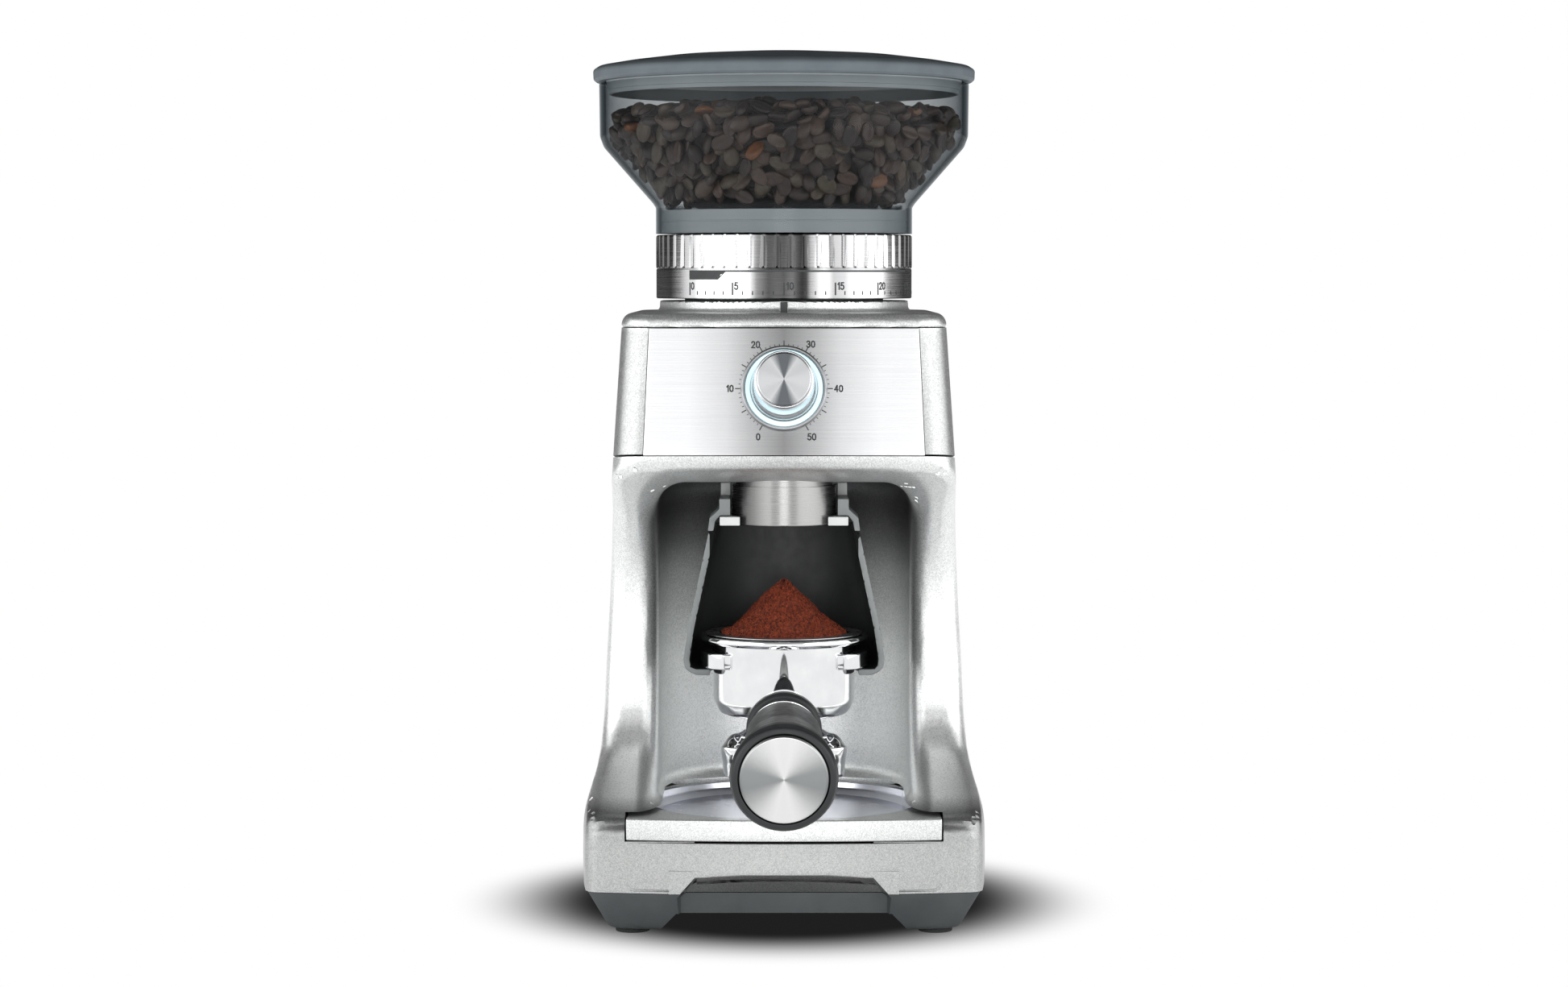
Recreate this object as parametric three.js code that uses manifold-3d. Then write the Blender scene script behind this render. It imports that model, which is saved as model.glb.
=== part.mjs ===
// A domestic burr coffee grinder with its bean hopper, grind-size dial, timer knob,
// geared motor drive, catch tray, cradle and a docked portafilter.
// Millimetres, +Z up, front towards -Y, feet on z = 0.
// Everything is laid out about the burr axis; the assembly is then moved back so that
// the origin lies under the middle of the whole object.
import * as THREE from "three";
import { mergeVertices } from "three/addons/utils/BufferGeometryUtils.js";
import Module from "manifold-3d";

const wasm = await Module();
wasm.setup();

// ---------------------------------------------------------------- driving dimensions
const BURR_AXIS_Y = 36.2; // burr axis behind the middle of the whole object
const OUTLET_Y = -42; // grounds outlet and portafilter axis, in front of the burr axis
const GAP = 0.3; // between neighbouring pieces that don't move against each other
const WALL = 3; // moulded housing wall
const FOOT_TOP = 2; // height of the rubber pads
const BASE_BOTTOM = 10; // underside of the base plate between the feet
const BASE_TOP = 18.7; // where the base plate meets the painted housing
const TRAY_BOTTOM = 42;
const TRAY_TOP = 51.4;
const TRAY_HALF = 68.8; // half width of the tray, and of the cover below it
const TRAY_BACK = 64; // depth of the tray's half-round back
const TRAY_CENTRE = -38; // where its straight sides end
const DISH_RADIUS = 62.4;
const DECK = 52.5; // floor of the bay behind the tray
const CEILING = 194; // roof of the bay
const BAY_RADIUS = 64;
const BAY_CENTRE = -19; // where the bay's straight sides end and its round back begins
const SEAM_FRONT_Z = 209; // seam between lower housing and head, at the front
const SEAM_FRONT_Y = -86;
const SEAM_SLOPE = 0.084; // the seam falls towards the back
const HEAD_TOP = 264.4;
const SHOULDER = 271; // flat top of the top cover
const COLLAR_TOP = 276;
const DIAL_BOTTOM = 276.8;
const DIAL_TOP = 305.8;
const DIAL_RADIUS = 58.6;
const HOPPER_RIM = 374.6;
const HOPPER_RADIUS = 84.3;
const LID_TOP = 389;
const PANEL_TILT = THREE.MathUtils.degToRad(12.2); // the control panel leans back
const PANEL_TOP_HALF = 59.3;
const PANEL_LOW_HALF = 61.6;
const KNOB_Z = 238;
const GLAND_Z = 34; // cord gland in the middle of the back
const MOTOR_Y = 80;
const IDLER_Y = 48;
const GEAR_MODULE = 2;
const [PINION_TEETH, IDLER_TEETH, IDLER_PINION_TEETH, OUTPUT_TEETH] = [8, 24, 8, 40];
const LOW_GEARS = [204, 210]; // heights of the motor pinion and the idler's wheel
const HIGH_GEARS = [212, 219]; // heights of the idler's pinion and the output wheel
const CASE_FLOOR = 198.4;
const CASE_TOP = 223;
const CHAMBER_FLOOR = 249; // floor of the grinding chamber, where its port is
const BURR_BOTTOM = 262.4;
const SHAFT_RADIUS = 4;
const SHAFT_BORE = 4.15; // in what turns with the shaft
const OUTLET_RADIUS = 23.3;
const CRADLE_WALL = 2.6;
const RIM_TOP = 126.5; // portafilter rim
const HANDLE_START = [0, -99.4, 91.2];
const HANDLE_TILT = THREE.MathUtils.degToRad(3.2); // the handle drops towards its end

// Places in plan of what repeats.
const PADS = {
  front_left: [-66.5, -86], front_right: [66.5, -86],
  rear_left: [-58, 103], rear_right: [58, 103],
};
const BOSSES = [[-80.5, -66], [80.5, -66], [-71, 122], [71, 122]]; // base screws
const BOARD_POSTS = [[-32, 62], [32, 62], [-32, 108], [32, 108]];
const PAN_FLOOR = BASE_BOTTOM + 2.6; // inside of the base plate
const BOARD_Z = 16; // underside of the power board

const ROUND = 28; // facets round a large turned piece
const FINE = 20;
const SMALL = 12;

// ---------------------------------------------------------------- materials
const finish = (color, roughness, metalness, extra = {}) =>
  new THREE.MeshStandardMaterial({ color, roughness, metalness, ...extra });
const material = {
  silverPaint: finish(0xb9bcbb, 0.42, 0.6),
  brushedSteel: finish(0xc9cacc, 0.3, 1),
  chrome: finish(0xe4e6e8, 0.06, 1),
  darkPlastic: finish(0x33383a, 0.5, 0),
  blackPlastic: finish(0x161718, 0.45, 0),
  rubber: finish(0x202223, 0.85, 0),
  lidPlastic: finish(0x4b5155, 0.55, 0),
  smokedPlastic: finish(0x6c757a, 0.08, 0, { transparent: true, opacity: 0.4 }),
  beans: finish(0x3a261c, 0.45, 0),
  grounds: finish(0x6e2b12, 0.9, 0),
  lightGrey: finish(0xd5d7d6, 0.5, 0),
  lampPlastic: finish(0xdff3f8, 0.3, 0),
  circuit: finish(0x1f5b3a, 0.6, 0),
  steel: finish(0x9a9da0, 0.35, 1),
  bronze: finish(0xa8783c, 0.4, 1),
  nylon: finish(0xe8e2d0, 0.6, 0),
};

// ---------------------------------------------------------------- solids
// A closed geometry as a solid, turned face out if its profile ran the other way.
function solidOf(geometry) {
  const loose = geometry.index ? geometry.toNonIndexed() : geometry;
  const bare = new THREE.BufferGeometry();
  bare.setAttribute("position", loose.getAttribute("position"));
  const merged = mergeVertices(bare, 1e-4);
  const corners = [];
  const index = merged.index.array;
  for (let i = 0; i < index.length; i += 3) {
    const [a, b, c] = index.slice(i, i + 3);
    if (a !== b && b !== c && a !== c) corners.push([a, b, c]);
  }
  const build = (triangles) =>
    new wasm.Manifold(
      new wasm.Mesh({
        numProp: 3,
        vertProperties: merged.attributes.position.array,
        triVerts: new Uint32Array(triangles.flat()),
      }),
    );
  const made = build(corners);
  return made.volume() > 0 ? made : build(corners.map(([a, b, c]) => [a, c, b]));
}

function geometryOf(solid) {
  const mesh = solid.getMesh();
  const geometry = new THREE.BufferGeometry();
  geometry.setAttribute("position", new THREE.BufferAttribute(mesh.vertProperties, 3));
  geometry.setIndex(new THREE.BufferAttribute(mesh.triVerts, 1));
  return geometry;
}

const join = (first, ...rest) => rest.reduce((sum, next) => sum.add(next), first);
const cut = (first, ...rest) => rest.reduce((left, next) => left.subtract(next), first);

// A profile of [radius, height] turned about a vertical axis at x, y.
function turned(profile, { segments = FINE, x = 0, y = 0 } = {}) {
  const points = profile.map(([r, h]) => new THREE.Vector2(r, h));
  const onAxis = profile[0][0] === 0 && profile.at(-1)[0] === 0;
  if (!onAxis) points.push(points[0].clone());
  const geometry = new THREE.LatheGeometry(points, segments);
  geometry.rotateX(Math.PI / 2).translate(x, y, 0);
  return solidOf(geometry);
}

const ring = (inner, outer, low, high, place) =>
  turned([[inner, low], [outer, low], [outer, high], [inner, high]], place);
const disc = (radius, low, high, place) =>
  turned([[0, low], [radius, low], [radius, high], [0, high]], place);

// A round bar that runs front to back.
const rod = (radius, front, back, z) =>
  solidOf(
    new THREE.CylinderGeometry(radius, radius, back - front, SMALL)
      .translate(0, (front + back) / 2, z),
  );

function box(x0, x1, y0, y1, z0, z1) {
  const geometry = new THREE.BoxGeometry(x1 - x0, y1 - y0, z1 - z0);
  return solidOf(geometry.translate((x0 + x1) / 2, (y0 + y1) / 2, (z0 + z1) / 2));
}

const shapeOf = (points) => new THREE.Shape(points.map(([a, b]) => new THREE.Vector2(a, b)));
const extrude = (shape, depth, curveSegments = 10) =>
  new THREE.ExtrudeGeometry(shape, { depth, bevelEnabled: false, curveSegments });

// Prisms along each axis. Shapes are drawn in (x, y), (x, z) and (y, z).
const prismZ = (shape, low, high, curveSegments) =>
  solidOf(extrude(shape, high - low, curveSegments).translate(0, 0, low));
const prismY = (shape, front, back, curveSegments) =>
  solidOf(extrude(shape, back - front, curveSegments).rotateX(Math.PI / 2).translate(0, back, 0));
function prismX(shape, half, curveSegments) {
  const turn = new THREE.Matrix4().set(0, 0, 1, -half, 1, 0, 0, 0, 0, 1, 0, 0, 0, 0, 0, 1);
  return solidOf(extrude(shape, 2 * half, curveSegments).applyMatrix4(turn));
}

// A skin over loops of equal length, each a list of [x, y, z], closed by a fan at each end.
function loft(loops) {
  const count = loops[0].length;
  const corners = [];
  const centre = (loop) => [0, 1, 2].map((k) => loop.reduce((sum, p) => sum + p[k], 0) / count);
  const [start, end] = [centre(loops[0]), centre(loops.at(-1))];
  for (let i = 0; i < count; i++) {
    const j = (i + 1) % count;
    corners.push(start, loops[0][j], loops[0][i]);
    corners.push(end, loops.at(-1)[i], loops.at(-1)[j]);
    for (let k = 0; k + 1 < loops.length; k++) {
      const [low, high] = [loops[k], loops[k + 1]];
      corners.push(low[i], low[j], high[j], low[i], high[j], high[i]);
    }
  }
  const geometry = new THREE.BufferGeometry();
  geometry.setAttribute("position", new THREE.Float32BufferAttribute(corners.flat(), 3));
  return solidOf(geometry);
}

// ---------------------------------------------------------------- housing outlines
// The plan outline of the housing at one height: a bowed front, nearly straight sides
// and a round back, as one loop that starts at the front middle.
function planLoop({ z, halfFront, half, front, bow, back, frontRadius, backRadius }) {
  const right = [];
  const flat = halfFront - frontRadius;
  for (let i = 0; i <= 4; i++) right.push([(flat * i) / 4, front + bow * (i / 4) ** 2]);
  for (const t of [0.35, 0.7]) {
    right.push([
      flat + frontRadius * (2 * t - t * t),
      front + bow + frontRadius * t * t,
    ]);
  }
  right.push([halfFront, front + bow + frontRadius]);
  right.push([half, front + bow + frontRadius + 30]);
  for (let i = 0; i <= 5; i++) {
    const a = ((i / 5) * Math.PI) / 2;
    right.push([
      half - backRadius * (1 - Math.cos(a)),
      back - backRadius * (1 - Math.sin(a)),
    ]);
  }
  const left = right.slice(1).reverse().map(([x, y]) => [-x, y]);
  return [...right, ...left].map(([x, y]) => [x, y, z]);
}

// The same outline drawn in by a distance on every side.
const inset = (s, d) => ({
  ...s,
  halfFront: s.halfFront - d,
  half: s.half - d,
  front: s.front + d,
  back: s.back - d,
  frontRadius: Math.max(s.frontRadius - d, 1),
  backRadius: s.backRadius - d,
});

const section = (z, halfFront, half, front, bow, back, frontRadius) => ({
  z, halfFront, half, front, bow, back, frontRadius, backRadius: 46,
});
const LOWER = [
  section(BASE_TOP + GAP, 85.4, 88.8, -106, 8, 140, 5),
  section(34, 85, 89, -105.6, 8, 140, 5),
  section(51.8, 84, 88, -104.6, 8, 138, 5),
  section(58, 83, 86.4, -103, 8, 136.5, 6),
  section(72, 81, 83.7, -100, 6, 133, 9),
  section(110, 79, 81, -96, 4, 126, 11),
  section(147, 77.4, 79, -92, 4, 120, 13),
  section(184, 75.6, 77, -89, 3, 114, 13),
  section(214, 73.6, 75.1, -85, 3, 109.5, 13),
];
const HEAD = [
  section(190, 75, 76.4, -90.1, 3, 112.5, 13),
  section(HEAD_TOP, 71, 72, -74, 3, 102, 13),
];
const seamZ = (y) => SEAM_FRONT_Z - SEAM_SLOPE * (y - SEAM_FRONT_Y);
const aboveSeam = (lift) =>
  prismX(
    shapeOf([[-130, seamZ(-130) + lift], [180, seamZ(180) + lift], [180, 330], [-130, 330]]),
    120,
  );
const belowSeam = (lift) =>
  prismX(
    shapeOf([[-130, seamZ(-130) + lift], [-130, 0], [180, 0], [180, seamZ(180) + lift]]),
    120,
  );

const lowerSolid = (d = 0) => loft(LOWER.map((s) => planLoop(inset(s, d))));
const headSolid = (d = 0) => loft(HEAD.map((s) => planLoop(inset(s, d))));

// What the open bay takes away, grown by d for the inner face of the housing's wall:
// the half-round bay itself, and the sweep that cuts back the side walls' front edges.
function bayCut(d = 0) {
  const bay = new THREE.Shape();
  bay.moveTo(-BAY_RADIUS - d, -140);
  bay.lineTo(-BAY_RADIUS - d, BAY_CENTRE);
  bay.absarc(0, BAY_CENTRE, BAY_RADIUS + d, Math.PI, 0, true);
  bay.lineTo(BAY_RADIUS + d, -140);
  const sweep = new THREE.Shape();
  sweep.moveTo(-140, DECK - d);
  sweep.lineTo(-98, DECK - d);
  sweep.bezierCurveTo(-60 + d, 54 - d, -22 + d, 68, -22 + d, 112);
  sweep.bezierCurveTo(-22 + d, 165, -40 + d, 190 + d, -74 + d, CEILING + 1 + d);
  sweep.bezierCurveTo(-80 + d, CEILING + 2.5 + d, -86 + d, 203 + d, -88 + d, 211 + d);
  sweep.lineTo(-140, 211 + d);
  return join(prismZ(bay, DECK - d, CEILING + d, 9), prismX(sweep, 120, 6));
}

// The tray's plan: straight sides and a half-round back.
function trayShape(halfWidth, depth, front) {
  const shape = new THREE.Shape();
  shape.moveTo(-halfWidth, front);
  shape.lineTo(-halfWidth, TRAY_CENTRE);
  shape.absellipse(0, TRAY_CENTRE, halfWidth, depth, Math.PI, 0, true);
  shape.lineTo(halfWidth, front);
  return shape;
}
const trayPocket = (grow, top) =>
  prismZ(trayShape(TRAY_HALF + grow, TRAY_BACK + grow, -140), TRAY_BOTTOM - grow, top, 7);

// The raised arch in the middle of the front's lower edge.
function frontArch() {
  const slice = (y, foot, top, high) => [
    [-foot, y, 8], [foot, y, 8], [foot, y, 17], [top, y, high], [-top, y, high], [-foot, y, 17],
  ];
  return loft([slice(-92, 45, 44, 17.2), slice(-112, 47, 37.5, 27)].reverse());
}

// ---------------------------------------------------------------- housing pieces
function bodyShell() {
  const cavity = cut(
    loft([
      planLoop({ ...inset(LOWER[0], WALL), z: 10 }),
      ...LOWER.map((s) => planLoop(inset(s, WALL))),
    ]),
    bayCut(WALL),
    trayPocket(WALL + 0.2, 56),
  );
  const shell = cut(
    lowerSolid(),
    bayCut(),
    trayPocket(0.6, 70),
    aboveSeam(-GAP),
    cavity,
    coverOpening(0.4),
    frontArch(),
    disc(22.4, 150, 205, { y: OUTLET_Y, segments: FINE }),
    rod(7.4, 120, 160, GLAND_Z),
  );
  const bosses = BOSSES.map(([x, y]) => disc(5.5, BASE_TOP + GAP, 36, { x, y, segments: SMALL }));
  const bores = BOSSES.map(([x, y]) => disc(1.8, 10, 33, { x, y, segments: SMALL }));
  return cut(join(shell, ...bosses), ...bores);
}

// The opening of the lower front cover, with round lower corners.
function coverShape(grow) {
  const [half, low, high, r] = [TRAY_HALF + grow, 20.2 - grow, TRAY_BOTTOM - 0.5 + grow, 4];
  const shape = new THREE.Shape();
  shape.moveTo(-half, high);
  shape.lineTo(-half, low + r);
  shape.absarc(-half + r, low + r, r, Math.PI, 1.5 * Math.PI, false);
  shape.lineTo(half - r, low);
  shape.absarc(half - r, low + r, r, 1.5 * Math.PI, 2 * Math.PI, false);
  shape.lineTo(half, high);
  return shape;
}
const coverOpening = (grow) => prismY(coverShape(grow), -120, -94, 4);

const baseFrontCover = () =>
  cut(lowerSolid().intersect(coverOpening(-GAP)), lowerSolid(WALL), frontArch());

function headShell() {
  const cavity = loft([
    planLoop({ ...inset(HEAD[0], WALL + 0.4), z: 185 }),
    planLoop({ ...inset(HEAD[1], WALL), z: HEAD_TOP + 5 }),
  ]);
  const panelSeat = cut(panelPrism(0.25), headSolid(1.7));
  return cut(headSolid(), belowSeam(GAP), cavity, panelSeat, onPanel(rod(9.5, -15, 15, 0)));
}

// The panel's outline in front view: a little wider at its lower edge.
const panelPrism = (grow) =>
  prismY(
    shapeOf([
      [-PANEL_LOW_HALF - grow, SEAM_FRONT_Z - 1],
      [PANEL_LOW_HALF + grow, SEAM_FRONT_Z - 1],
      [PANEL_TOP_HALF + grow, HEAD_TOP + 1],
      [-PANEL_TOP_HALF - grow, HEAD_TOP + 1],
    ]),
    -120,
    -60,
  );

// A cylinder about Y, turned and moved to the timer knob's tilted axis.
function onPanel(solid) {
  const tilt = new THREE.Matrix4().makeRotationX(-PANEL_TILT);
  tilt.setPosition(0, panelY(KNOB_Z), KNOB_Z);
  return solidOf(geometryOf(solid).applyMatrix4(tilt));
}
const panelY = (z) => HEAD[1].front - (HEAD_TOP - z) * Math.tan(PANEL_TILT);

const frontPanel = () =>
  cut(
    headSolid().intersect(panelPrism(0)),
    headSolid(1.4),
    belowSeam(GAP),
    onPanel(solidOf(new THREE.CylinderGeometry(17.5, 17.5, 30, FINE))),
  );

function topCover() {
  const top = HEAD[1];
  const edge = [[0, GAP], [0.2, 2.2], [1.4, 4.4], [3.6, 6], [7, 6.6]];
  const dome = loft(edge.map(([d, rise]) => planLoop({ ...inset(top, d), z: HEAD_TOP + rise })));
  const collar = turned(
    [[47, HEAD_TOP + 3], [62, SHOULDER - 0.4], [58.6, SHOULDER + 1], [57, SHOULDER + 3],
      [56.8, COLLAR_TOP], [47, COLLAR_TOP]],
    { segments: ROUND },
  );
  const under = loft([
    planLoop({ ...inset(top, WALL), z: HEAD_TOP }),
    planLoop({ ...inset(top, WALL), z: HEAD_TOP + 3.4 }),
  ]);
  const bore = disc(47, HEAD_TOP - 2, COLLAR_TOP + 2, { segments: ROUND });
  return cut(join(dome, collar), under, bore, pointerBar(GAP));
}

// The mark that the dial is read against, let into the front of the collar. Grown, it is the
// slot that it sits in, open in front and above.
const pointerBar = (grow) =>
  box(-1.6 - grow, 1.6 + grow, -59 - 8 * grow, -57.2 + grow, 271.6 - grow, 275.6 + 8 * grow);

function basePlate() {
  const low = { ...LOWER[0], z: FOOT_TOP + GAP, halfFront: 76.6, half: 79.5, front: -100, back: 131 };
  const high = { ...LOWER[0], z: BASE_TOP, halfFront: 85, half: 88.4, front: -105.4, back: 139.6 };
  const mid = { ...LOWER[0], z: BASE_TOP - 1.5, halfFront: 84.6, half: 88, front: -105, back: 139.2 };
  const block = loft([low, mid, high].map(planLoop));
  const alongY = shapeOf([[-57.5, -2], [57.5, -2], [46.5, BASE_BOTTOM], [-46.5, BASE_BOTTOM]]);
  const alongX = shapeOf([[-62, -2], [92, -2], [78, BASE_BOTTOM], [-48, BASE_BOTTOM]]);
  const pan = loft(
    [PAN_FLOOR, BASE_TOP + 1].map((z) => planLoop({ ...inset(high, 5), z })),
  );
  const columns = BOSSES.map(([x, y]) => disc(6, 5, 25, { x, y, segments: SMALL }));
  const holes = BOSSES.map(([x, y]) => disc(1.9, -5, 25, { x, y, segments: SMALL }));
  const posts = BOARD_POSTS.map(([x, y]) => disc(3, PAN_FLOOR - 1, BOARD_Z - GAP, { x, y, segments: 8 }));
  const tub = cut(block, prismY(alongY, -150, 160), prismX(alongX, 120), cut(pan, ...columns));
  return cut(join(tub, ...posts), frontArch(), ...holes);
}
// ---------------------------------------------------------------- drive
// A spur gear with straight-flanked teeth, thinned for running clearance.
function gearShape(teeth) {
  const pitch = (GEAR_MODULE * teeth) / 2;
  const [root, tip] = [pitch - 1.1 * GEAR_MODULE, pitch + 0.7 * GEAR_MODULE];
  const step = (2 * Math.PI) / teeth;
  const points = [];
  for (let i = 0; i < teeth; i++) {
    for (const [r, share] of [[root, -0.33], [tip, -0.1], [tip, 0.1], [root, 0.33]]) {
      const a = (i + share) * step;
      points.push([r * Math.cos(a), r * Math.sin(a)]);
    }
  }
  return shapeOf(points);
}
const gear = (teeth, bore, low, high) =>
  cut(prismZ(gearShape(teeth), low, high), disc(bore, low - 1, high + 1, { segments: SMALL }));

// The output wheel is thinned to a web between its hub and its rim.
function outputGear() {
  const below = ring(12, 33, HIGH_GEARS[0] - 1, HIGH_GEARS[0] + 2);
  const above = ring(12, 33, HIGH_GEARS[1] - 2, HIGH_GEARS[1] + 1);
  return cut(gear(OUTPUT_TEETH, SHAFT_BORE, ...HIGH_GEARS), below, above);
}

// The two idler wheels are one moulding. The lower wheel is turned so that both mesh.
function idlerGear() {
  const bore = 2.6;
  const wheel = gear(IDLER_TEETH, bore, ...LOW_GEARS).rotate([0, 0, 90]);
  const halfTooth = 180 / IDLER_PINION_TEETH;
  const pinion = gear(IDLER_PINION_TEETH, bore, LOW_GEARS[1] - 0.1, HIGH_GEARS[1] + 1);
  return join(wheel, pinion.rotate([0, 0, halfTooth - 90]));
}

// Walls of the gear case: two circles and the lines that touch them both.
function caseShape(grow) {
  const [big, small] = [45.5 + grow, 23.5 + grow];
  const a = Math.asin((big - small) / MOTOR_Y);
  const shape = new THREE.Shape();
  shape.absarc(0, 0, big, a, Math.PI - a, true);
  shape.absarc(0, MOTOR_Y, small, Math.PI - a, a, true);
  return shape;
}

// The case is open to its cover, with holes for the bearing, the motor's shaft and the idler's pin.
const gearCase = () =>
  cut(
    prismZ(caseShape(0), CASE_FLOOR, CASE_TOP, 8),
    prismZ(caseShape(-2.4), CASE_FLOOR + 2.4, CASE_TOP + 5, 8),
    disc(9.2, 190, 205, { segments: SMALL }),
    disc(6, 190, 205, { y: MOTOR_Y, segments: SMALL }),
    disc(2.5, 190, 205, { y: IDLER_Y, segments: SMALL }),
  );

const gearCover = () =>
  cut(
    prismZ(caseShape(0), CASE_TOP + GAP, CASE_TOP + 3, 8),
    disc(6, 215, 235, { segments: SMALL }),
    disc(2.5, 215, 235, { y: IDLER_Y, segments: SMALL }),
  );

const motorCan = () =>
  turned(
    [[3.2, 118], [9, 118], [9, 121], [25.5, 121], [27, 123], [27, 193], [25.5, 195],
      [9, 195], [9, 198], [3.2, 198]],
    { y: MOTOR_Y, segments: FINE },
  );

// ---------------------------------------------------------------- burrs
// A fluted cone: each level is a star whose flutes lean round with height.
function flutedCone(levels, flutes, depth, lean) {
  const count = flutes * 2;
  return loft(
    levels.map(([radius, z]) =>
      Array.from({ length: count }, (_, i) => {
        const a = (i / count) * 2 * Math.PI + lean * (z - levels[0][1]);
        const r = radius - (i % 2 === 0 ? depth : 0);
        return [r * Math.cos(a), r * Math.sin(a), z];
      }),
    ),
  );
}

const shaftHole = () => disc(SHAFT_BORE, 240, 290, { segments: SMALL });
const coneBurr = () =>
  cut(flutedCone([[19.4, BURR_BOTTOM], [18.6, 266], [11.5, 274.5], [6.4, 279]], 12, 1.4, 0.03), shaftHole());
const ringBurr = () =>
  cut(
    disc(25, BURR_BOTTOM, 284.6, { segments: FINE }),
    flutedCone([[22.2, BURR_BOTTOM - 0.2], [21.3, 267], [16.6, 275.5], [21.5, 284.8]], 14, -1.2, -0.02),
  );

const burrCarrier = () =>
  turned(
    [[25.3, 262], [30, 262], [30, 279.5], [41.5, 279.5], [41.5, 285], [25.3, 285]],
    { segments: ROUND },
  );

// A tube that stands on the gear cover, with the chamber's floor across it and a port in front.
function burrChamber() {
  const [inner, outer, under] = [42.3, 45.5, CHAMBER_FLOOR - 3];
  const cup = turned(
    [[outer, CASE_TOP + 3.3], [outer, 290], [inner, 290], [inner, CHAMBER_FLOOR],
      [11.3, CHAMBER_FLOOR], [11.3, under], [inner, under], [inner, CASE_TOP + 3.3]],
    { segments: ROUND },
  );
  return cut(cup, box(-9, 9, -50, -38, CHAMBER_FLOOR, CHAMBER_FLOOR + 12));
}

// The vanes that push the grounds round the chamber's floor to its port.
function sweeper() {
  const hub = disc(31, 255, 257, { segments: FINE });
  const vane = box(6, 36, -1.2, 1.2, CHAMBER_FLOOR + 2, 260);
  const vanes = [0, 120, 240].map((deg) => vane.rotate([0, 0, deg]));
  const boss = disc(9, CHAMBER_FLOOR + 2, 262, { segments: SMALL });
  return cut(join(hub, boss, ...vanes), shaftHole());
}

// The duct that drops the grounds from the chamber's port to the outlet, in front of the gears.
function groundsChute() {
  const outer = join(box(-11, 11, -62.4, -49, 197.6, 263), box(-11, 11, -50, -46, CHAMBER_FLOOR - 2, 263));
  const inner = join(box(-9, 9, -60.4, -51, 190, 261), box(-9, 9, -55, -40, CHAMBER_FLOOR, 261));
  return cut(outer, inner);
}

const outletCollar = () =>
  turned(
    [[20.9, 176.2], [OUTLET_RADIUS, 176.2], [OUTLET_RADIUS, CEILING - GAP], [22, CEILING - GAP],
      [22, 197.4], [20.9, 197.4]],
    { y: OUTLET_Y, segments: FINE },
  );

// ---------------------------------------------------------------- hopper, lid and dial
function hopperBowl() {
  const bowl = turned(
    [[81.8, HOPPER_RIM], [HOPPER_RADIUS, HOPPER_RIM], [84, 349.5], [82.4, 345.5], [60.4, 321.5],
      [DIAL_RADIUS, 318.5], [DIAL_RADIUS, 306.2], [56.2, 306.2], [56.2, 317.6], [26.4, 303],
      [26.4, 287], [24, 287], [24, 305.2], [57.2, 321.8], [79.9, 346.6], [81.6, 350.2]],
    { segments: ROUND },
  );
  const bridge = windowDisc(26, 287, 289.2);
  return join(bowl, bridge);
}

// A disc with two opposite sector windows for the beans.
function windowDisc(radius, low, high) {
  const window = new THREE.Shape();
  window.absarc(0, 0, radius - 4, THREE.MathUtils.degToRad(8), THREE.MathUtils.degToRad(82), false);
  window.absarc(0, 0, 7, THREE.MathUtils.degToRad(74), THREE.MathUtils.degToRad(16), true);
  const hole = prismZ(window, low - 1, high + 1, 4);
  return cut(disc(radius, low, high, { segments: FINE }), hole, hole.rotate([0, 0, 180]));
}

// The gate disc with its post and the wing that turns it, down among the beans.
function beanGate() {
  const plate = windowDisc(23.4, 289.6, 291.8);
  const post = disc(4, 291, 338, { segments: SMALL });
  const wing = box(-17, 17, -2.6, 2.6, 330, 346);
  return join(plate, post, wing);
}

const beanFill = () =>
  turned(
    [[0, 366], [62, 366], [76, 363.5], [80.9, 359], [80.9, 350.6], [79.2, 347.2], [56.8, 322.6],
      [24, 306.4], [18.8, 306.4], [18.8, 349], [0, 349]],
    { segments: ROUND },
  );

const lid = () =>
  turned(
    [[0, LID_TOP], [30, 388.2], [60, 385.7], [80, 382.9], [85.8, 382.2], [87.2, 380.4], [87, 376],
      [85.6, 375], [82.2, 375.2], [82.2, 377.6], [60, 382.4], [30, 385], [0, 385.8]],
    { segments: ROUND },
  );
const lidSeal = () =>
  turned([[78.4, 367.4], [80.8, 367.4], [81.4, 377.2], [78.4, 377.6]], { segments: ROUND });

const dialSleeve = () => ring(57.3, DIAL_RADIUS, DIAL_BOTTOM, DIAL_TOP, { segments: ROUND });
const dialCore = () =>
  turned(
    [[57, DIAL_BOTTOM + 0.4], [57, DIAL_TOP - 0.3], [34, DIAL_TOP - 0.3], [34, 287], [38, 287],
      [38, 301], [46.6, 301], [46.6, DIAL_BOTTOM + 0.4]],
    { segments: ROUND },
  );

// ---------------------------------------------------------------- tray and cradle
function catchTray() {
  const plate = prismZ(trayShape(TRAY_HALF, TRAY_BACK, -98), TRAY_BOTTOM, TRAY_TOP, 8);
  const front = lowerSolid().intersect(
    box(-TRAY_HALF, TRAY_HALF, -120, -97, TRAY_BOTTOM, TRAY_TOP),
  );
  return cut(join(plate, front), disc(DISH_RADIUS + 0.4, 44, 60, { y: TRAY_CENTRE, segments: ROUND }));
}

// The round pan that lies in the tray.
const trayDish = () =>
  turned(
    [[0, 44.3], [57, 44.3], [DISH_RADIUS, 46.6], [DISH_RADIUS, TRAY_TOP], [61.4, TRAY_TOP], [60.8, 47.8],
      [56.6, 45.6], [0, 45.6]],
    { y: TRAY_CENTRE, segments: ROUND },
  );

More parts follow.
